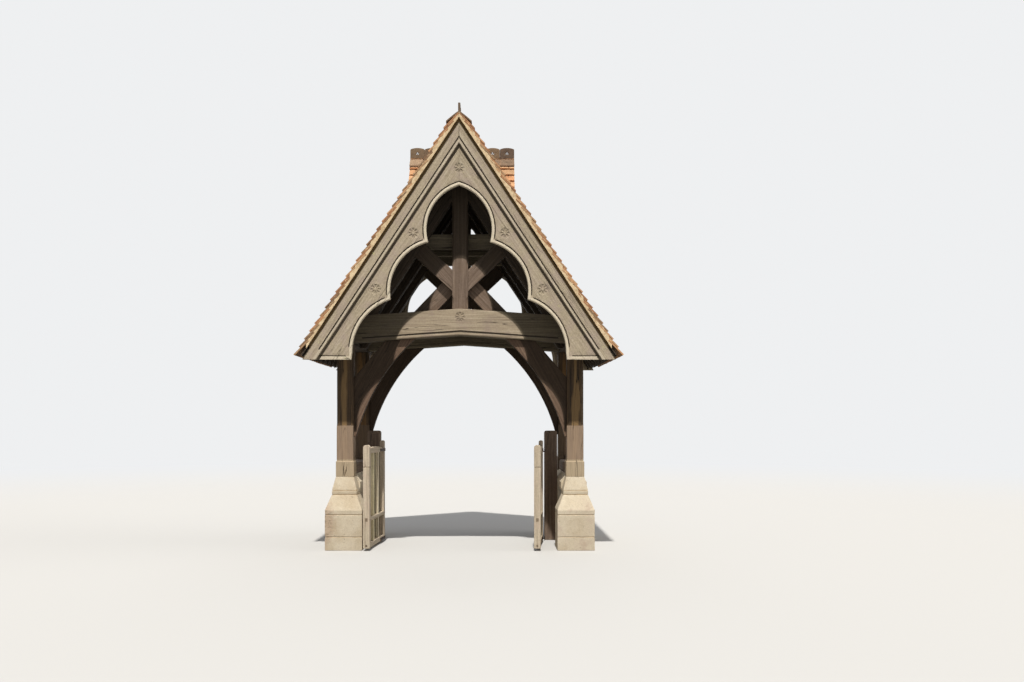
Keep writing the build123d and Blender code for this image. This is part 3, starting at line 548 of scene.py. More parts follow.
def oak(
    name, dark, middle, pale, check, patch, patch_share, lichen=None, lichen_from=0.62,
    streakiness=1.0, feet=(), patch_scale=2.3, speckle=0.7, golden=None, wear_and_shade=None,
):
    """Weathered oak: streaks and fine grain along each member, drying checks and patches,
    with painted shade where the boards' shadow falls and in grooves and hollows.

    feet are (colour, height, spread): below that height the timber turns to that colour. Below
    the boards' shadow line this is painted light; lower down it is bleached wood.
    golden is the colour of a streak up the middle of the posts; the last argument gives where
    edges are worn pale, and where shade is painted dark in corners and under the verge.
    """
    look = Look(name, 0.82)
    grain, place = look.attribute("grain", "Vector"), look.place()
    streaks = look.noise(grain, (0.9, 40, 40), 7, 0.66, 0.3)
    fine = look.noise(grain, (5.0, 170, 170), 4, 0.65)
    broad = look.noise(grain, (0.35, 5, 5), 3, 0.5, start=(3, 9, 1))
    mottle = look.noise(place, 38, 5, 0.7)
    half = 0.19 / streakiness
    colour = look.ramp(streaks, (0.5 - half, dark), (0.5, middle), (0.5 + half, pale))
    shade = look.ramp(fine, (0.3, (0.66, 0.64, 0.62, 1)), (0.62, (1.08, 1.08, 1.08, 1)))
    colour = look.mix(0.7, colour, shade, "MULTIPLY")
    dots = look.ramp(mottle, (0.35, (0.8, 0.79, 0.78, 1)), (0.6, (1.05, 1.05, 1.05, 1)))
    colour = look.mix(speckle, colour, dots, "MULTIPLY")
    patches = look.noise(place, patch_scale, 6, 0.65)
    patches = look.share(patches, 0.86 - patch_share, 1.14 - patch_share)
    colour = look.mix(patches * 0.6, colour, patch)
    if golden:
        bands = look.noise(grain, (1.2, 14, 14), 3, 0.5, start=(2, 4, 8))
        off = abs(abs(look.axis(place, 0)) - post_x) + (bands - 0.5) * 0.22
        streak = look.fade(off, 0.015, 0.05)
        colour = look.mix(streak * 0.75, colour, look.mix(0.8, golden, shade, "MULTIPLY"))
    for foot_colour, foot_top, spread in feet:
        height = look.axis(place, 2) + (streaks - 0.5) * (4 * spread)
        low = look.fade(height, foot_top - spread, foot_top + spread)
        colour = look.mix(low * 0.85, colour, look.mix(0.8, foot_colour, shade, "MULTIPLY"))
    if wear_and_shade:
        worn, painted_edge_shade = wear_and_shade(look, place)
        colour = look.mix(worn * 0.6, colour, (236, 224, 200))
        # painted shade in the boards' corners and under the verge, in the check colour
        colour = look.mix(painted_edge_shade * 0.75, colour, check)
    checks = abs(look.noise(grain, (0.7, 17, 17), 2, 0.4, 0.3, start=(7, 2, 5)) - 0.5)
    checks = look.fade(checks, 0.003, 0.014) * look.share(broad, 0.45, 0.6)
    colour = look.mix(checks * (0.85 * min(1, streakiness)), colour, check)
    if lichen:
        spots = look.share(look.noise(place, 14, 6, 0.7), lichen_from, lichen_from + 0.1)
        colour = look.mix(spots * 0.6, colour, lichen)
    # Painted shade: darker oak in the boards' shadow and on faces turned away from the key
    painted_shade = look.share(look.attribute("painted_shade"), 0.0, 0.014)
    colour = look.mix(painted_shade * 0.95, colour, (0.31, 0.31, 0.28, 1), "MULTIPLY")
    # Painted shade in the grooves and the rosettes' hollows, in the check colour
    colour = look.mix(look.attribute("painted_recess_shade") * 0.95, colour, check)
    height = fine * 0.35 + streaks * 0.6 + mottle * 0.15 - checks * 0.9
    return look.finish(colour, height, 0.55, 0.004)


def board_wear_and_shade(look, place):
    """Where the boards are worn pale, and where shade is painted dark.

    They are worn at the opening, at the facing boards' inner edge and at the foot. Shade is
    painted beside the facing boards' inner edge, where their shadow falls on the cusped boards,
    and along the facing boards' outer edge, under the verge's shadow.
    """
    across, height = abs(look.axis(place, 0)), look.axis(place, 2)
    opening = None
    for radius, x, z in cusp_arcs:
        offset = look.node("CombineXYZ", X=across - x, Y=height - z)
        distance = look.length(offset) - radius
        opening = look.maths("MINIMUM", opening, distance) if opening else distance
    below = (facing_inner_apex - (height + across * rise)) * cos(roof_pitch)
    strip = look.share(below, -0.039, -0.034) * look.fade(below, -0.006, -0.001)
    foot = look.fade(height, board_foot + 0.038, board_foot + 0.045) * look.share(below, 0, 0.02)
    worn = look.maths("MAXIMUM", look.fade(opening, 0.032, 0.040), strip * 0.45)
    worn = look.maths("MAXIMUM", worn, foot * 0.7)
    # Painted shade: the facing boards' shadow beside their inner edge, and the verge's shadow on
    # their outer edge
    corner = look.share(below, -0.001, 0.002) * look.fade(below, 0.026, 0.037)
    return worn, look.maths("MAXIMUM", corner, look.fade(below, -0.140, -0.136))


def limestone(name, pale, warm, stain, stain_share):
    """Tooled limestone with warm stains, pits and specks, pitted most low on the left front."""
    look = Look(name, 0.9)
    place = look.place()
    fine = look.noise(place, 60, 5, 0.65)
    tooling = look.noise(place, (22, 22, 150), 3, 0.6)
    pits = look.noise(place, 28, 4, 0.6)
    colour = look.ramp(look.noise(place, 3.4, 7, 0.68), (0.35, warm), (0.58, pale))
    specks = look.ramp(fine, (0.3, (0.75, 0.72, 0.68, 1)), (0.65, (1.08, 1.08, 1.06, 1)))
    colour = look.mix(0.5, colour, specks, "MULTIPLY")
    stains = look.noise(place, 1.7, 6, 0.66)
    stains = look.share(stains, 1 - stain_share - 0.08, 1 - stain_share + 0.08)
    colour = look.mix(stains * 0.75, colour, stain)
    middle, reach = (-1.80, -0.98, 0.36), (0.19, 0.8, 0.38)
    scaled = look.node(
        "Mapping", Vector=place, Scale=[1 / r for r in reach],
        Location=[-m / r for m, r in zip(middle, reach)],
    )
    patch = look.fade(look.length(scaled) + pits * 1.4, 1.2, 1.75)
    colour = look.mix(patch * 0.45, colour, (172, 140, 118))
    deep = patch * look.share(pits, 0.5, 0.58)
    holes = look.maths("MAXIMUM", look.share(pits, 0.62, 0.72), deep)
    colour = look.mix(holes * 0.4, colour, (132, 112, 88))
    return look.finish(colour, fine * 0.5 - holes * 0.8 + tooling * 0.5, 0.7, 0.006)


def burnt_clay(name, *tones):
    """Hand-made clay tiles: each tile has its own tone, with soot, lichen and a sanded face."""
    look = Look(name, 0.86)
    place = look.place()
    stops = [(i / (len(tones) - 1), tone) for i, tone in enumerate(tones)]
    colour = look.ramp(look.attribute("tone"), *stops)
    mottle = look.noise(place, 22, 5, 0.65)
    dots = look.ramp(mottle, (0.3, (0.62, 0.58, 0.55, 1)), (0.6, (1.08, 1.06, 1.02, 1)))
    colour = look.mix(0.65, colour, dots, "MULTIPLY")
    lichen = look.share(look.noise(place, 34, 6, 0.7), 0.6, 0.68)
    colour = look.mix(lichen * 0.55, colour, (176, 168, 142))
    soot = look.share(look.noise(place, 5, 5, 0.65), 0.55, 0.72)
    colour = look.mix(soot * 0.35, colour, (78, 68, 56))
    return look.finish(colour, look.noise(place, 160, 4, 0.6), 0.4, 0.002)


def lime_mortar():
    """Cream mortar with sand in it."""
    look = Look("lime_mortar", 0.95)
    place = look.place()
    sand = look.noise(place, 18, 6, 0.65)
    colour = look.ramp(sand, (0.32, (192, 164, 126)), (0.6, (230, 206, 168)))
    return look.finish(colour, look.noise(place, 120, 4, 0.6), 0.5, 0.004)


def wrought_iron():
    """Old black iron with brown rust showing through."""
    look = Look("wrought_iron", 0.6)
    look.shader.inputs["Metallic"].default_value = 0.55
    place = look.place()
    rust = look.share(look.noise(place, 30, 6, 0.7), 0.45, 0.65)
    colour = look.mix(rust, (44, 41, 38), (96, 62, 42))
    return look.finish(colour, look.noise(place, 90, 4, 0.6), 0.4, 0.002)


oak_frame = oak(
    "oak_frame", (92, 76, 64), (126, 108, 94), (152, 134, 118),
    (38, 31, 25), (120, 100, 80), 0.4, streakiness=0.8,
)
oak_tie = oak(
    "oak_tie", (136, 121, 101), (174, 158, 135), (198, 184, 161),
    (52, 44, 35), (150, 132, 122), 0.42, (172, 166, 124), 0.64, streakiness=0.8, patch_scale=5,
)
oak_brace = oak(
    "oak_brace", (84, 66, 54), (116, 94, 78), (142, 120, 100),
    (34, 27, 21), (92, 72, 54), 0.4, streakiness=0.7,
)
# Posts: the shaft's dark tones are partly the oak's own and partly painted shade; the foot colour up
# to 1.643 is painted light, paler below the boards' shadow line.
post_tones = (52, 41, 31), (82, 66, 49), (124, 99, 70), (28, 22, 17), (92, 72, 48)
oak_post = oak(
    "oak_post", *post_tones, 0.3, golden=(148, 120, 82),
    feet=(((160, 138, 117), 1.643, 0.008), ((186, 168, 141), 1.19, 0.01)),
)
# The rear posts' copy has a darker foot and streak: painted shade, as their feet stand in shade.
oak_post_rear_painted_shade = oak(
    "oak_post_rear_painted_shade", *post_tones, 0.3, golden=(128, 97, 60),
    feet=(((116, 98, 80), 1.643, 0.008),),
)
oak_packing = oak(
    "oak_packing", (92, 72, 42), (112, 90, 54), (128, 104, 66), (40, 32, 20), (100, 80, 50), 0.35
)
oak_collar = oak(
    "oak_collar", (88, 80, 66), (116, 106, 88), (138, 128, 108), (34, 29, 23), (100, 88, 66), 0.35
)
# A darker copy of the oak for the timbers inside the roof, as painted shade.
oak_inside = oak(
    "oak_inside", (44, 37, 30), (68, 58, 48), (92, 80, 67), (25, 21, 17), (78, 64, 49), 0.35
)
board_tones = (
    (156, 142, 120), (182, 168, 144), (204, 192, 170),
    (46, 36, 24), (170, 152, 142), 0.45, (196, 190, 136), 0.61,
)
oak_board = oak(
    "oak_board", *board_tones, streakiness=0.6, patch_scale=5, speckle=1.0, wear_and_shade=board_wear_and_shade
)
oak_plank = oak("oak_plank", *board_tones, streakiness=0.8, patch_scale=5)
oak_gate = oak(
    "oak_gate", (172, 156, 134), (202, 187, 164), (222, 209, 187),
    (96, 82, 66), (198, 176, 158), 0.42, (198, 192, 142), 0.66, streakiness=0.6, patch_scale=5,
)
# The bars' oak is paler than the stiles': partly their own weathered, lichened wood and partly
# painted light, as the key only grazes their inner faces.
oak_bar_painted_light = oak(
    "oak_bar_painted_light", (200, 188, 158), (224, 212, 184), (238, 229, 206),
    (120, 104, 78), (214, 194, 164), 0.4, (214, 208, 150), 0.6, streakiness=0.6, patch_scale=5,
)
oak_lichen_painted_light = oak(
    "oak_lichen_painted_light", (208, 195, 154), (232, 219, 180), (243, 234, 204),
    (120, 106, 74), (226, 208, 176), 0.4, (214, 207, 146), 0.58, streakiness=0.6, patch_scale=5,
)
oak_end = oak(
    "oak_end", (108, 92, 76), (132, 115, 96), (156, 138, 116), (60, 50, 40), (118, 100, 80), 0.3
)
stone = limestone("stone", (214, 202, 181), (197, 181, 156), (176, 150, 130), 0.38)
clay = burnt_clay(
    "clay", (150, 112, 82), (178, 128, 92), (196, 146, 106),
    (206, 164, 124), (168, 136, 104), (128, 100, 78),
)
ridge_clay = burnt_clay("ridge_clay", (112, 94, 78), (140, 116, 94), (158, 134, 110))
crest_clay = burnt_clay("crest_clay", (100, 84, 72), (118, 100, 82), (130, 110, 88))
mortar = lime_mortar()
iron = wrought_iron()


# Timber frame
def along_slope(point):
    side = 1 if point.x > 0 else -1
    return (side * cos(roof_pitch), 0, -sin(roof_pitch))


def dress_frame():
    for end, _ in both_ends:
        for side, _ in both_sides:
            dress_post(end, side)
    outer = (
        ("king_post", oak_frame, 11), ("upper_struts", oak_frame, 13),
        ("lower_struts", oak_frame, 15), ("arch_braces", oak_brace, 19),
    )
    for number, (end, out) in enumerate(both_ends):
        for name, material, seed in outer:
            timber(f"{name}_{end}", "oak_frame", material, seed + number, outside=out)
        timber(f"principal_rafters_{end}", "oak_inside", oak_inside, 21 + number)
        dress_tie(f"tie_beam_{end}", out, 25 + number)
    timber("principal_rafters_middle", "oak_inside", oak_inside, 23)
    for number, place in enumerate(("front", "middle", "rear")):
        timber(f"collar_{place}", "oak_inside", oak_collar, 27 + number)
    for number, node in enumerate(("wall_plates", "ridge_beam", "purlins", "common_rafters")):
        timber(node, "oak_inside", oak_inside, 31 + number)
    for side, _ in both_sides:
        timber(f"sill_{side}", "oak_frame", oak_frame, 41)
        timber(f"hanging_post_{side}", "oak_gate", oak_frame, 43)


def crack(points, corner):
    """The cutter of a drying crack that wanders up a front face, from its lower left corner."""
    outline = [
        (corner.x + x + side * crack_width * share / 2, corner.z + z)
        for side, run in ((-1, points), (1, points[::-1]))
        for x, z, share in run
    ]
    return prism(outline, corner.y - 0.01, corner.y + crack_depth, lambda x, z, y: (x, y, z))


def dress_post(end, side):
    """A post; the left front one has cracks in its base block."""
    node = f"post_{end}_{side}"
    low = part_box(node)[0]
    bm = cad_mesh(node)
    soften(bm, 0.005)
    if (end, side) == ("front", "left"):
        bm = carve(bm, [crack(points, low) for points in post_cracks])
    dice(bm, 0.09)
    uneven(bm, 0.0012, 0.12, len(node))
    give_grain(bm, 3 * len(node) + (low.x > 0), upright)
    material = oak_post if end == "front" else oak_post_rear_painted_shade
    piece("dressed_" + node, bm, "oak_frame", material, node)


def dress_tie(node, out, seed):
    """A tie beam with its groove and a rosette on its outer face."""
    face_y = out * tie_face_y
    bm = cad_mesh(node)
    mark_grooves(bm, face_y, spread=0.004)
    soften(bm, 0.003, least=40)
    bm = carve_rosettes(bm, [(0.0, tie_rosette_z)], face_y)
    dice(bm, 0.06)
    # painted shade: the boards' cast shadow darkens the tie
    give_painted_shade(bm, out)
    uneven(bm, 0.001, 0.15, seed)
    give_grain(bm, seed, (1, 0, 0))
    piece("dressed_" + node, bm, "oak_frame", oak_tie, node)


# Bargeboards
def on_opening(edge, face_y, foot_z):
    """Whether an edge of a cusped board's outer face runs along the opening."""
    if any(abs(abs(v.co.y) - abs(face_y)) > 0.001 for v in edge.verts):
        return False
    middle = (edge.verts[0].co + edge.verts[1].co) / 2
    for f in edge.link_faces:
        levels = [abs(v.co.y) for v in f.verts]
        through = max(levels) - min(levels) >= 0.03
        outer = abs(abs(f.normal.x) * rise - abs(f.normal.z)) < 0.02 and f.normal.z > 0
        joint = abs(f.normal.x) > 0.999 and abs(middle.x) < 0.01
        foot = f.normal.z < -0.999 and middle.z < foot_z + 0.01
        if through and not (outer or joint or foot):
            return True
    return False


def dress_cusped_board(node, face_y, sign):
    """One half of the cusped boards: worn edge of the opening, grooves and rosettes."""
    foot_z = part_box(node)[0].z
    centres = [(0.0, apex_rosette_z)] + [(sign * x, z) for x, z in side_rosettes]
    bm = cad_mesh(node)
    mark_grooves(bm, face_y, spread=0.002)
    soften(bm, 0.013, lambda e: on_opening(e, face_y, foot_z), segments=5)
    soften(bm, 0.003, lambda e: all(abs(v.co.x) < 0.001 for v in e.verts), segments=1)
    finish_board(carve_rosettes(bm, centres, face_y), node, 5, len(node) + sign)


def dress_facing_board(node, face_y, sign):
    bm = cad_mesh(node)
    mark_grooves(bm, face_y, spread=0.005)
    soften(bm, 0.003, least=40)
    finish_board(bm, node, 6, len(node) + 3 * sign)


def finish_board(bm, node, seed, grain_seed):
    dice(bm, 0.12)
    uneven(bm, 0.001, 0.15, seed)
    give_grain(bm, grain_seed, along_slope)
    piece("dressed_" + node, bm, "oak_board", oak_board, node)


def dress_boards():
    for end, out in both_ends:
        for side, sign in both_sides:
            dress_cusped_board(f"cusped_board_{end}_{side}", out * cusped_face_y, sign)
            dress_facing_board(f"facing_board_{end}_{side}", out * board_face_y, sign)


# Gates
class Leaf:
    """A gate leaf, hung and opened; seed is for its timbers."""

    def __init__(self, side, sign, direction, seed):
        self.side, self.seed = side, seed
        self.along = Vector((cos(direction), sin(direction), 0))
        self.across = Vector((self.along.y, -self.along.x, 0))
        self.hinge = Vector((sign * hinge_x, hinge_y, 0))

    def elevation(self, along, up, across):
        """A place on the leaf as a point of the frame."""
        return self.hinge + self.along * along + Vector((0, 0, up)) + self.across * across

    def section(self, across, up, along):
        return self.elevation(along, up, across)

    def member(self, name, bm, material, axis, seed, edge=0.004, replaced=()):
        soften(bm, edge, least=40)
        dice(bm, 0.08)
        uneven(bm, 0.0009, 0.07, self.seed + seed)
        give_grain(bm, self.seed + seed, axis)
        body = f"gate_{self.side}"
        piece(f"{name}_{self.side}", bm, "oak_gate", material, *replaced, body=body)

    def slab(self, outline, thickness):
        """A solid about the middle of the leaf's thickness, from its outline in elevation."""
        return prism(outline, -thickness / 2, thickness / 2, self.elevation)

    def rail(self, name, outline, seed):
        self.member(name, self.slab(outline, leaf_thickness), oak_gate, self.along, seed)


def rounded_top(half, bottom, top, radius):
    """The section of a stile: square foot and rounded top."""
    right = arc_points((half - radius, top - radius), radius, 0, pi / 2, 6)
    left = arc_points((-half + radius, top - radius), radius, pi / 2, pi, 6)
    return [(-half, bottom), (half, bottom)] + right + left


def build_stiles(leaf):
    """The heel stile, and the meeting stile in two parts with a narrow neck between them."""
    outline = rounded_top(leaf_thickness / 2, leaf_bottom, heel_top, heel_round)
    heel = prism(outline, heel_start, heel_end, leaf.section)
    leaf.member("heel_stile", heel, oak_gate, upright, 0, replaced=(f"leaf_{leaf.side}",))
    half = meeting_thickness / 2
    neck_low, neck_high = neck_height - neck_width / 2, neck_height + neck_width / 2
    lower = rectangle(-half, half, leaf_bottom, neck_low)
    upper = rounded_top(half, neck_high, meeting_top, meeting_round)
    for number, outline in enumerate((lower, upper)):
        stile = prism(outline, meeting_start, leaf_length, leaf.section)
        leaf.member(f"meeting_stile_{number}", stile, oak_gate, upright, 1)
    neck = rectangle(-half + neck_depth, half - neck_depth, neck_low - 0.01, neck_high + 0.01)
    stile = prism(neck, meeting_start + neck_depth, leaf_length - neck_depth, leaf.section)
    leaf.member("meeting_stile_neck", stile, oak_end, upright, 2, 0.0005)


def build_rails(leaf):
    """The top rail, whose upper edge is arched, and the two lower rails."""
    camber = top_rail_top - (top_rail_heel + top_rail_meeting) / 2
    outline = [(heel_end, top_rail_bottom), (meeting_start, top_rail_bottom)]
    for i in range(12, -1, -1):
        t = i / 12
        height = top_rail_heel * (1 - t) + top_rail_meeting * t + 4 * t * (1 - t) * camber
        outline.append((heel_end + opening_width * t, height))
    leaf.rail("top_rail", outline, 3)
    heights = (mid_rail_bottom, mid_rail_top), (leaf_bottom, bottom_rail_top)
    for number, (low, high) in enumerate(heights):
        leaf.rail(f"rail_{number}", rectangle(heel_end, meeting_start, low, high), 4 + number)


def build_bars(leaf):
    """The upright bars, housed in the rails; the second has more lichen."""
    low, high = bottom_rail_top - 0.002, top_rail_bottom + 0.002
    for number, share in enumerate(bar_places):
        left = heel_end + share * opening_width - bar_width / 2
        bar = leaf.slab(rectangle(left, left + bar_width, low, high), bar_thickness)
        material = oak_lichen_painted_light if number == 1 else oak_bar_painted_light
        leaf.member(f"bar_{number}", bar, material, upright, 7 + number)


def build_tenons_and_pegs(leaf):
    """The ends of the rails' tenons in the meeting stile, and the pegs that hold them."""
    bm = bmesh.new()
    tenons = (
        (0.034, mid_rail_bottom + 0.004, mid_rail_top - 0.002),
        (0.026, leaf_bottom + 0.02, leaf_bottom + 0.05),
    )
    for wide, low, high in tenons:
        outline = rectangle(-wide / 2, wide / 2, low, high)
        add_into(bm, prism(outline, leaf_length - 0.004, leaf_length + 0.0015, leaf.section))
    heel, meeting = heel_start + heel_width / 2, meeting_start + meeting_width / 2
    pegs = (
        (heel, mid_rail_top - 0.026, leaf_thickness), (heel, top_rail_bottom + 0.04, leaf_thickness),
        (meeting, mid_rail_top - 0.026, meeting_thickness),
        (meeting, top_rail_bottom + 0.035, meeting_thickness),
    )
    for along, up, thickness in pegs:
        outline = arc_points((along, up), 0.009, along, along + 2 * pi, 9)[:-1]
        add_into(bm, leaf.slab(outline, thickness + 0.004))
    leaf.member("tenons_and_pegs", bm, oak_end, upright, 12, 0.001)


def build_gates():
    """Two leaves: stiles with rounded tops, three rails, upright bars, tenon ends and pegs."""
    left = Leaf("left", -1, radians(-open_left), 500)
    right = Leaf("right", 1, radians(180 + open_right), 520)
    for leaf in (left, right):
        build_stiles(leaf)
        build_rails(leaf)
        build_bars(leaf)
        build_tenons_and_pegs(leaf)


# Roof
def toned_mesh():
    """An empty bmesh whose points carry a tone, 0 to 1, for the clay."""
    bm = bmesh.new()
    bm.verts.layers.float.new("tone")
    return bm


def sheet_into(bm, across, along, thickness, place, tone):
    """A closed sheet; place gives the point for a place across, a place along and a depth."""
    layer = bm.verts.layers.float["tone"]
    top, under = [], []
    for t in along:
        for rows, depth in ((top, 0), (under, thickness)):
            rows.append([bm.verts.new(place(s, t, depth)) for s in across])
            for v in rows[-1]:
                v[layer] = tone
    for j in range(len(along) - 1):
        for i in range(len(across) - 1):
            bm.faces.new((top[j][i], top[j][i + 1], top[j + 1][i + 1], top[j + 1][i]))
            bm.faces.new((under[j][i], under[j + 1][i], under[j + 1][i + 1], under[j][i + 1]))
        bm.faces.new((top[j][0], top[j + 1][0], under[j + 1][0], under[j][0]))
        bm.faces.new((top[j + 1][-1], top[j][-1], under[j][-1], under[j + 1][-1]))
    for i in range(len(across) - 1):
        bm.faces.new((top[0][i + 1], top[0][i], under[0][i], under[0][i + 1]))
        bm.faces.new((top[-1][i], top[-1][i + 1], under[-1][i + 1], under[-1][i]))


def tile_into(bm, origin, along, across, normal, width, tone, rng):
    """One cambered clay tile. origin is the middle of its lower edge, on top; along runs uphill."""
    camber = 0.004 + rng.uniform(-0.0015, 0.0015)
    twist = rng.uniform(-0.0015, 0.0015)

    def place(s, t, depth):
        drop = camber * s * s + camber * 0.5 * t + twist * s * t + depth
        return origin + along * (t * tile_length) + across * (s * width / 2) - normal * drop

    sheet_into(bm, (-1, -0.5, 0, 0.5, 1), (0, 0.5, 1), tile_thickness, place, tone)


def slope_directions(outward):
    """Uphill and square to a roof slope whose foot points outward."""
    uphill = unit(2) * sin(roof_pitch) - outward * cos(roof_pitch)
    return uphill, outward * sin(roof_pitch) + unit(2) * cos(roof_pitch)


def tiled_slope(foot, outward, across, half_width, ridge_z, rng, tones=(0, 1)):
    """Courses of tiles on a slope, cut to the underside of the ridge tiles.

    foot is the middle of the eaves, and across runs along them.
    """
    bm = toned_mesh()
    least_width, half_width = 0.03, half_width - 0.0005
    uphill, normal = slope_directions(outward)
    courses = ceil((foot.dot(outward) - ridge_wing_x) / cos(roof_pitch) / tile_gauge)
    lean = (tile_thickness + tile_gap) / tile_gauge
    along = (uphill - normal * lean).normalized()
    tilted_normal = (normal + uphill * lean).normalized()
    for course in range(courses):
        start = foot - normal * 0.001
        start += uphill * (course * tile_gauge + rng.uniform(-0.002, 0.002))
        edges = [-half_width]
        place = -half_width + (tile_width if course % 2 == 1 else tile_width / 2)
        while place < half_width - least_width:
            edges.append(place)
            place += tile_width
        edges.append(half_width)
        for left, right in zip(edges, edges[1:]):
            trim_left = rng.uniform(0.0005, 0.006) if left == edges[0] else tile_gap / 2
            trim_right = rng.uniform(0.0005, 0.006) if right == edges[-1] else tile_gap / 2
            left, right = left + trim_left, right - trim_right
            lift = -rng.uniform(0, 0.003)
            origin = start + across * ((left + right) / 2) + normal * lift
            origin = origin + along * rng.uniform(-0.001, 0.004)
            tone = rng.uniform(*tones)
            tile_into(bm, origin, along, across, tilted_normal, right - left, tone, rng)
    under_ridge = unit(2) * (ridge_z - ridge_tile_thickness)
    clipped(bm, under_ridge, (outward * ridge_slope + unit(2)).normalized())
    return bm


def build_slopes():
    for side, sign in both_sides:
        rng = random.Random(100 + sign)
        foot = Vector((sign * eaves_x, 0, roof_apex - eaves_x * rise))
        bm = tiled_slope(foot, unit(0) * sign, unit(1), roof_half_length, ridge_tile_apex, rng)
        piece(f"tiles_{side}", bm, "clay_tile", clay, f"roof_slope_{side}", angle=30)


def roof_height(x, depth):
    """Height at x, at a depth below the roof's outer face."""
    return roof_apex - x * rise - depth / cos(roof_pitch)


def roof_block(sign, depths, xs, ys):
    """A block of the roof between two depths below its outer face, two xs and two ys."""
    outline = [
        (x, roof_height(x, depth))
        for depth, run in ((depths[0], xs), (depths[1], xs[::-1]))
        for x in run
    ]
    return prism(outline, *ys, lambda x, z, y: (sign * x, y, z))


def build_roof_boards(side, sign):
    """Boards under the tiles, laid across the rafters."""
    boards = bmesh.new()
    step, joint = roof_board_width * cos(roof_pitch), 0.0015
    ys = (-roof_half_length + 0.03, roof_half_length - 0.03)
    x = eaves_x - roof_thickness * sin(roof_pitch) - 0.02
    while x > 0.05:
        xs = (max(x - step + joint, 0.03), x)
        add_into(boards, roof_block(sign, (board_depth, roof_thickness), xs, ys))
        x -= step
    uneven(boards, 0.0006, 0.2, 3)
    give_grain(boards, 70 + sign, (0, 1, 0))
    piece(f"roof_boards_{side}", boards, "oak_inside", oak_inside)


def build_verge_mortar(side, sign):
    """Mortar under the tiles of the verges, higher under each course's foot."""
    verge = bmesh.new()
    gauge_x = tile_gauge * cos(roof_pitch)
    inset, width, least_depth, tooth, wander = 0.0045, 0.1, 0.036, 0.022, 0.003
    under_ridge = ridge_tile_apex - ridge_tile_thickness - 0.002
    for end in (-1, 1):
        outer, inner = end * (roof_half_length - inset), end * (roof_half_length - width)
        teeth = [(k, part) for k in range(1, 40) for part in (0.03, 0.5, 0.97)]
        stations = [(eaves_x - (k + part) * gauge_x, part) for k, part in teeth]
        stations = [(x, part) for x, part in stations if 0.02 < x < eaves_x - 0.145]
        rows = []
        for x, part in [(0.002, 0.5)] + stations[::-1]:
            depth = least_depth + tooth * part + wander * noise.noise((x * 14, end, sign))
            top = min(roof_height(x, depth), under_ridge - ridge_slope * x)
            foot = roof_height(x, roof_thickness - 0.001)
            middle = (top + foot) / 2
            ring = (outer, top), (outer, middle), (outer, foot), (inner, foot), (inner, top)
            rows.append([verge.verts.new((sign * x, y, z)) for y, z in ring])
        for low_row, high_row in zip(rows, rows[1:]):
            for i in range(5):
                j = (i + 1) % 5
                verge.faces.new((low_row[i], low_row[j], high_row[j], high_row[i]))
        verge.faces.new(rows[0])
        verge.faces.new(rows[-1][::-1])
    bmesh.ops.recalc_face_normals(verge, faces=verge.faces)
    uneven(verge, 0.0025, 0.03, 5)
    piece(f"verge_mortar_{side}", verge, "clay_tile", mortar)


def build_verge_packing(side, sign):
    """The strips that close the gap between the bargeboards and the roof's underside."""
    packing = bmesh.new()
    gap, play = 0.030, 0.001
    depths = (roof_thickness + play, roof_thickness + gap - play)
    xs = (0.002, eaves_x - 0.2)
    for end in (-1, 1):
        ys = sorted((end * (board_face_y - 0.006), end * (cusped_face_y - 0.04)))
        add_into(packing, roof_block(sign, depths, xs, ys))
    give_grain(packing, 90 + sign, along_slope)
    piece(f"verge_packing_{side}", packing, "oak_board", oak_packing)


def build_gablet_tiles():
    half_width, low_y = gablet_end_x / 2, gablet_foot_y + 0.06
    for side, sign in both_sides:
        rng = random.Random(300 + sign)
        bm = toned_mesh()
        main_normal = slope_directions(unit(0) * sign)[1]
        for end in (-1, 1):
            foot = Vector((sign * half_width, end * low_y, gablet_apex - low_y * rise))
            part = tiled_slope(
                foot, unit(1) * end, unit(0), half_width, gablet_tile_apex, rng, (0.3, 0.75)
            )
            clipped(part, unit(2) * roof_apex - main_normal * 0.035, -main_normal)
            add_into(bm, part)
        piece(f"gablet_tiles_{side}", bm, "clay_tile", clay, f"gablet_roof_{side}", angle=30)


# Ridges
def flat_sheet(outlines, thickness, edge):
    """A closed sheet cut to outlines, the first outside and the rest holes, with rounded edges."""
    curve = bpy.data.curves.new("sheet", "CURVE")
    curve.dimensions = "2D"
    curve.fill_mode = "BOTH"
    curve.extrude = thickness / 2 - edge
    curve.bevel_depth = edge
    curve.bevel_resolution = 1
    curve.offset = -edge
    for points in outlines:
        spline = curve.splines.new("POLY")
        spline.points.add(len(points) - 1)
        for target, (x, y) in zip(spline.points, points):
            target.co = (x, y, 0, 1)
        spline.use_cyclic_u = True
    holder = add_object("sheet", curve)
    mesh = bpy.data.meshes.new_from_object(holder)
    bpy.data.objects.remove(holder)
    bpy.data.curves.remove(curve)
    return mesh


def crest_unit_mesh(length):
    """One unit of the crest, standing on its lower edge: domed top, pierced by a trefoil."""
    half, foot, corner = length / 2, -0.012, 0.012
    shoulder = crest_height - crest_dome - corner
    radius = (half**2 + crest_dome**2) / (2 * crest_dome)
    reach = atan2(half - corner * 0.6, radius - crest_dome)
    outline = [(-half, foot), (half, foot), (half, shoulder)]
    outline += arc_points((0, crest_height - radius), radius, pi / 2 - reach, pi / 2 + reach, 16)
    outline.append((-half, shoulder))
    lobe, spread, eye, turn = 0.011, 0.010, 0.072, radians(118)
    hole = []
    for number in range(3):
        direction = pi / 2 + number * 2 * pi / 3
        middle = (spread * cos(direction), eye + spread * sin(direction))
        hole += arc_points(middle, lobe, direction - turn, direction + turn, 10)
    return flat_sheet([outline, hole], crest_thickness, 0.004)


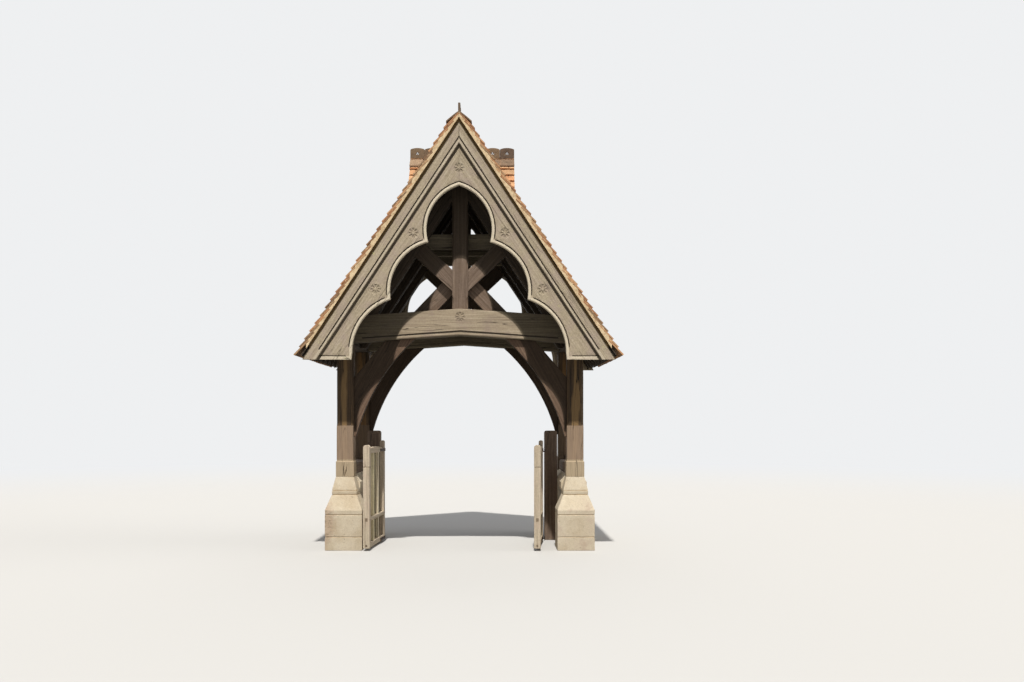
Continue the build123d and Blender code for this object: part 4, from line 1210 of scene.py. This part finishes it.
def ridge_tile_into(bm, ends, apex, to_world, tone):
    """One angled ridge tile between two ends, with its wings a little arched."""
    wing_z = apex + ridge_tile_drop - ridge_wing_x * rise

    def place(s, t, depth):
        height = apex + (wing_z + ridge_tile_thickness - apex) * abs(s)
        height += 0.004 * sin(pi * abs(s))
        if abs(s) < 0.08:
            height -= 0.004
        return to_world(s * ridge_wing_x, t, height - depth)

    sheet_into(bm, [i / 5 - 1 for i in range(11)], ends, ridge_tile_thickness, place, tone)


def build_ridge(name, node, apex, start, units, to_world, seed, clip=None):
    """Ridge tiles in a row, two crest units each, and the crest that stands on them."""
    rng = random.Random(seed)
    wings, crests = toned_mesh(), toned_mesh()
    crest_tone = crests.verts.layers.float["tone"]
    unit_mesh = crest_unit_mesh(crest_unit - 0.0006)
    for number in range(units):
        low = start + number * crest_unit
        high = low + crest_unit
        if name == "ridge" and number == 0:
            low = -roof_half_length + 0.001
        if name == "ridge" and number == units - 1:
            high = roof_half_length - 0.001
        if number % 2 == 0:
            low += 0.002
        else:
            high -= 0.002
        ridge_tile_into(wings, (low, high), apex, to_world, rng.random())
        middle = start + (number + 0.5) * crest_unit
        tone = rng.random()
        tilt = rng.uniform(-0.006, 0.006)
        first = len(crests.verts)
        crests.from_mesh(unit_mesh)
        crests.verts.ensure_lookup_table()
        for v in crests.verts[first:]:
            x, y, z = v.co
            v.co = to_world(z, middle + x + tilt * y, apex + min(y, crest_height - 0.0003))
            v[crest_tone] = tone
    bpy.data.meshes.remove(unit_mesh)
    for bm in (wings, crests):
        bmesh.ops.remove_doubles(bm, verts=bm.verts, dist=0.00005)
        if clip:
            clipped(bm, *clip)
        bmesh.ops.recalc_face_normals(bm, faces=bm.faces)
    soften(wings, 0.003, least=60)
    piece(f"{name}_tiles", wings, "ridge_tile", ridge_clay, node, angle=40)
    piece(f"{name}_crest_units", crests, "ridge_tile", crest_clay, node, angle=40)


def build_ridges():
    units = int(2 * roof_half_length / crest_unit)
    build_ridge(
        "ridge", "ridge_crest", ridge_tile_apex, -units * crest_unit / 2, units,
        lambda across, along, z: Vector((across, along, z)), 400,
    )
    for side, sign in both_sides:
        units = int(gablet_end_x / crest_unit)
        inward = -slope_directions(unit(0) * sign)[1]
        build_ridge(
            f"gablet_ridge_{side}", f"gablet_crest_{side}", gablet_tile_apex,
            gablet_end_x - units * crest_unit, units,
            lambda across, along, z, sign=sign: Vector((sign * along, across, z)), 410 + sign,
            clip=(unit(2) * roof_apex + inward * 0.03, inward),
        )


def dress_gablet_walls():
    """Upright boards in the ends of the gablets."""
    for side, _ in both_sides:
        node = f"gablet_wall_{side}"
        low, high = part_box(node)
        source = cad_mesh(node)
        boards = bmesh.new()
        count = round((high.y - low.y) / plank_width)
        edges = [low.y + (high.y - low.y) * i / count for i in range(count + 1)]
        for left, right in zip(edges, edges[1:]):
            board = cell(source, (1, left + plank_gap / 2, right - plank_gap / 2))
            soften(board, 0.002)
            add_into(boards, board)
        source.free()
        uneven(boards, 0.001, 0.1, 3)
        give_grain(boards, 81, upright)
        piece("dressed_" + node, boards, "oak_board", oak_plank, node)


# Stone
def split_at(places):
    """Ranges between places, with half a joint off each end; None where there is no joint."""
    half = stone_joint / 2
    starts = [None] + [place + half for place in places]
    return list(zip(starts, [place - half for place in places] + [None]))


def stonework(node, seed, levels=(), splits=((),)):
    """Separate blocks with recessed mortar between them, cut from a CAD node."""
    source = cad_mesh(node)
    low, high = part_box(node)
    blocks = bmesh.new()
    levels = [z for z in levels if low.z + 0.03 < z < high.z - 0.03]
    for course, (bottom, top) in enumerate(split_at(levels)):
        for left, right in split_at(splits[course % len(splits)]):
            block = cell(source, (2, bottom, top), (1, left, right))
            bmesh.ops.dissolve_limit(
                block, angle_limit=radians(0.5), verts=block.verts, edges=block.edges
            )
            soften(block, 0.006)
            dice(block, 0.045)
            uneven(block, 0.0022, 0.06, seed + course)
            uneven(block, 0.0008, 0.015, seed + course + 9)
            add_into(blocks, block)
    middle = (low + high) / 2
    for v in source.verts:
        for axis in (0, 1):
            v.co[axis] -= mortar_recess if v.co[axis] > middle[axis] else -mortar_recess
        v.co.z = min(max(v.co.z, low.z + 0.001), high.z - 0.002)
    piece("mortar_" + node, source, "stone", mortar)
    piece("blocks_" + node, blocks, "stone", stone, node)


def dress_stone():
    for number, (end, _) in enumerate(both_ends):
        for side, _ in both_sides:
            stonework(f"plinth_{end}_{side}", 3 * number + len(side), plinth_levels)
    for number, (side, _) in enumerate(both_sides):
        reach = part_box(f"coping_{side}")[1].y
        stonework(f"dwarf_wall_{side}", 30 + number, wall_levels, wall_splits)
        stonework(f"coping_{side}", 40 + number, (), ((-reach / 3, reach / 3),))


def dress_iron():
    for side, _ in both_sides:
        for node in (f"pintles_{side}", f"leaf_straps_{side}"):
            nodes[node].data.materials.clear()
            nodes[node].data.materials.append(iron)


# Stage
def build_stage():
    """A plain pale floor that fades into the backdrop, and the backdrop's colour."""
    backdrop = (0.86, 0.87, 0.88, 1)
    bm = bmesh.new()
    bmesh.ops.create_grid(bm, x_segments=2, y_segments=2, size=60)
    floor = add_object("floor", mesh_from(bm, "floor"))
    look = Look("pale_floor", 0.95, 0.1)
    camera_ray = look.node("LightPath", "Is Camera Ray")
    colour = look.mix(camera_ray, (0.24, 0.235, 0.22, 1), (0.52, 0.515, 0.505, 1))
    look.fill(look.shader.inputs["Base Color"], colour)
    far = look.share(look.length(look.place()), 9.0, 26.0)
    glow = look.node("Emission", Color=backdrop, Strength=1.0)
    lit = Value(look, look.shader.outputs[0])
    surface = look.node("MixShader", _0=far * camera_ray, _1=lit, _2=glow)
    look.fill(look.tree.nodes["Material Output"].inputs["Surface"], surface)
    floor.data.materials.append(look.material)

    scene.world = bpy.data.worlds.new("studio")
    scene.world.use_nodes = True
    sky = Shading(scene.world.node_tree)
    seen = sky.node("LightPath", "Is Camera Ray")
    for kind in ("Is Glossy Ray", "Is Transmission Ray"):
        seen = sky.maths("MAXIMUM", seen, sky.node("LightPath", kind))
    colour = sky.mix(seen, (0.30, 0.31, 0.33, 1), backdrop)
    sky.fill(sky.tree.nodes["Background"].inputs["Color"], colour)


def lamp(name, strength, width, colour, azimuth, elevation):
    """A sun lamp; azimuth is measured from the front towards the right, in degrees."""
    data = bpy.data.lights.new(name, "SUN")
    data.energy = strength
    data.angle = radians(width)
    data.color = colour
    made = add_object(name, data)
    a, e = radians(azimuth), radians(elevation)
    direction = Vector((sin(a) * cos(e), -cos(a) * cos(e), sin(e)))
    made.rotation_mode = "QUATERNION"
    made.rotation_quaternion = direction.to_track_quat("Z", "Y")


def build_lights():
    """A high key from the front, and two weak wide fills, from the right and from behind."""
    lamp("key", 4.2, 1.8, (1.0, 0.965, 0.9), -1.2, 62.6)
    lamp("fill_right", 0.75, 40, (1.0, 0.97, 0.92), 88, 24)
    lamp("fill_back", 0.6, 60, (1.0, 0.98, 0.95), 180, 35)


def build_camera():
    """The photograph's view: level, straight on, with a small lens shift for its framing."""
    data = bpy.data.cameras.new("camera")
    data.sensor_width = 36
    data.lens = 34.28
    data.shift_x = 0.0198
    data.shift_y = 0.077
    camera = add_object("camera", data)
    camera.location = (0.42, -13.9, 1.72)
    camera.rotation_euler = (pi / 2, 0, 0)
    scene.camera = camera


build_camera()
build_lights()
build_stage()
dress_frame()
dress_boards()
build_slopes()
for side, sign in both_sides:
    build_roof_boards(side, sign)
    build_verge_mortar(side, sign)
    build_verge_packing(side, sign)
build_gablet_tiles()
build_ridges()
dress_gablet_walls()
dress_stone()
dress_iron()
build_gates()

scene.view_settings.view_transform = "Standard"
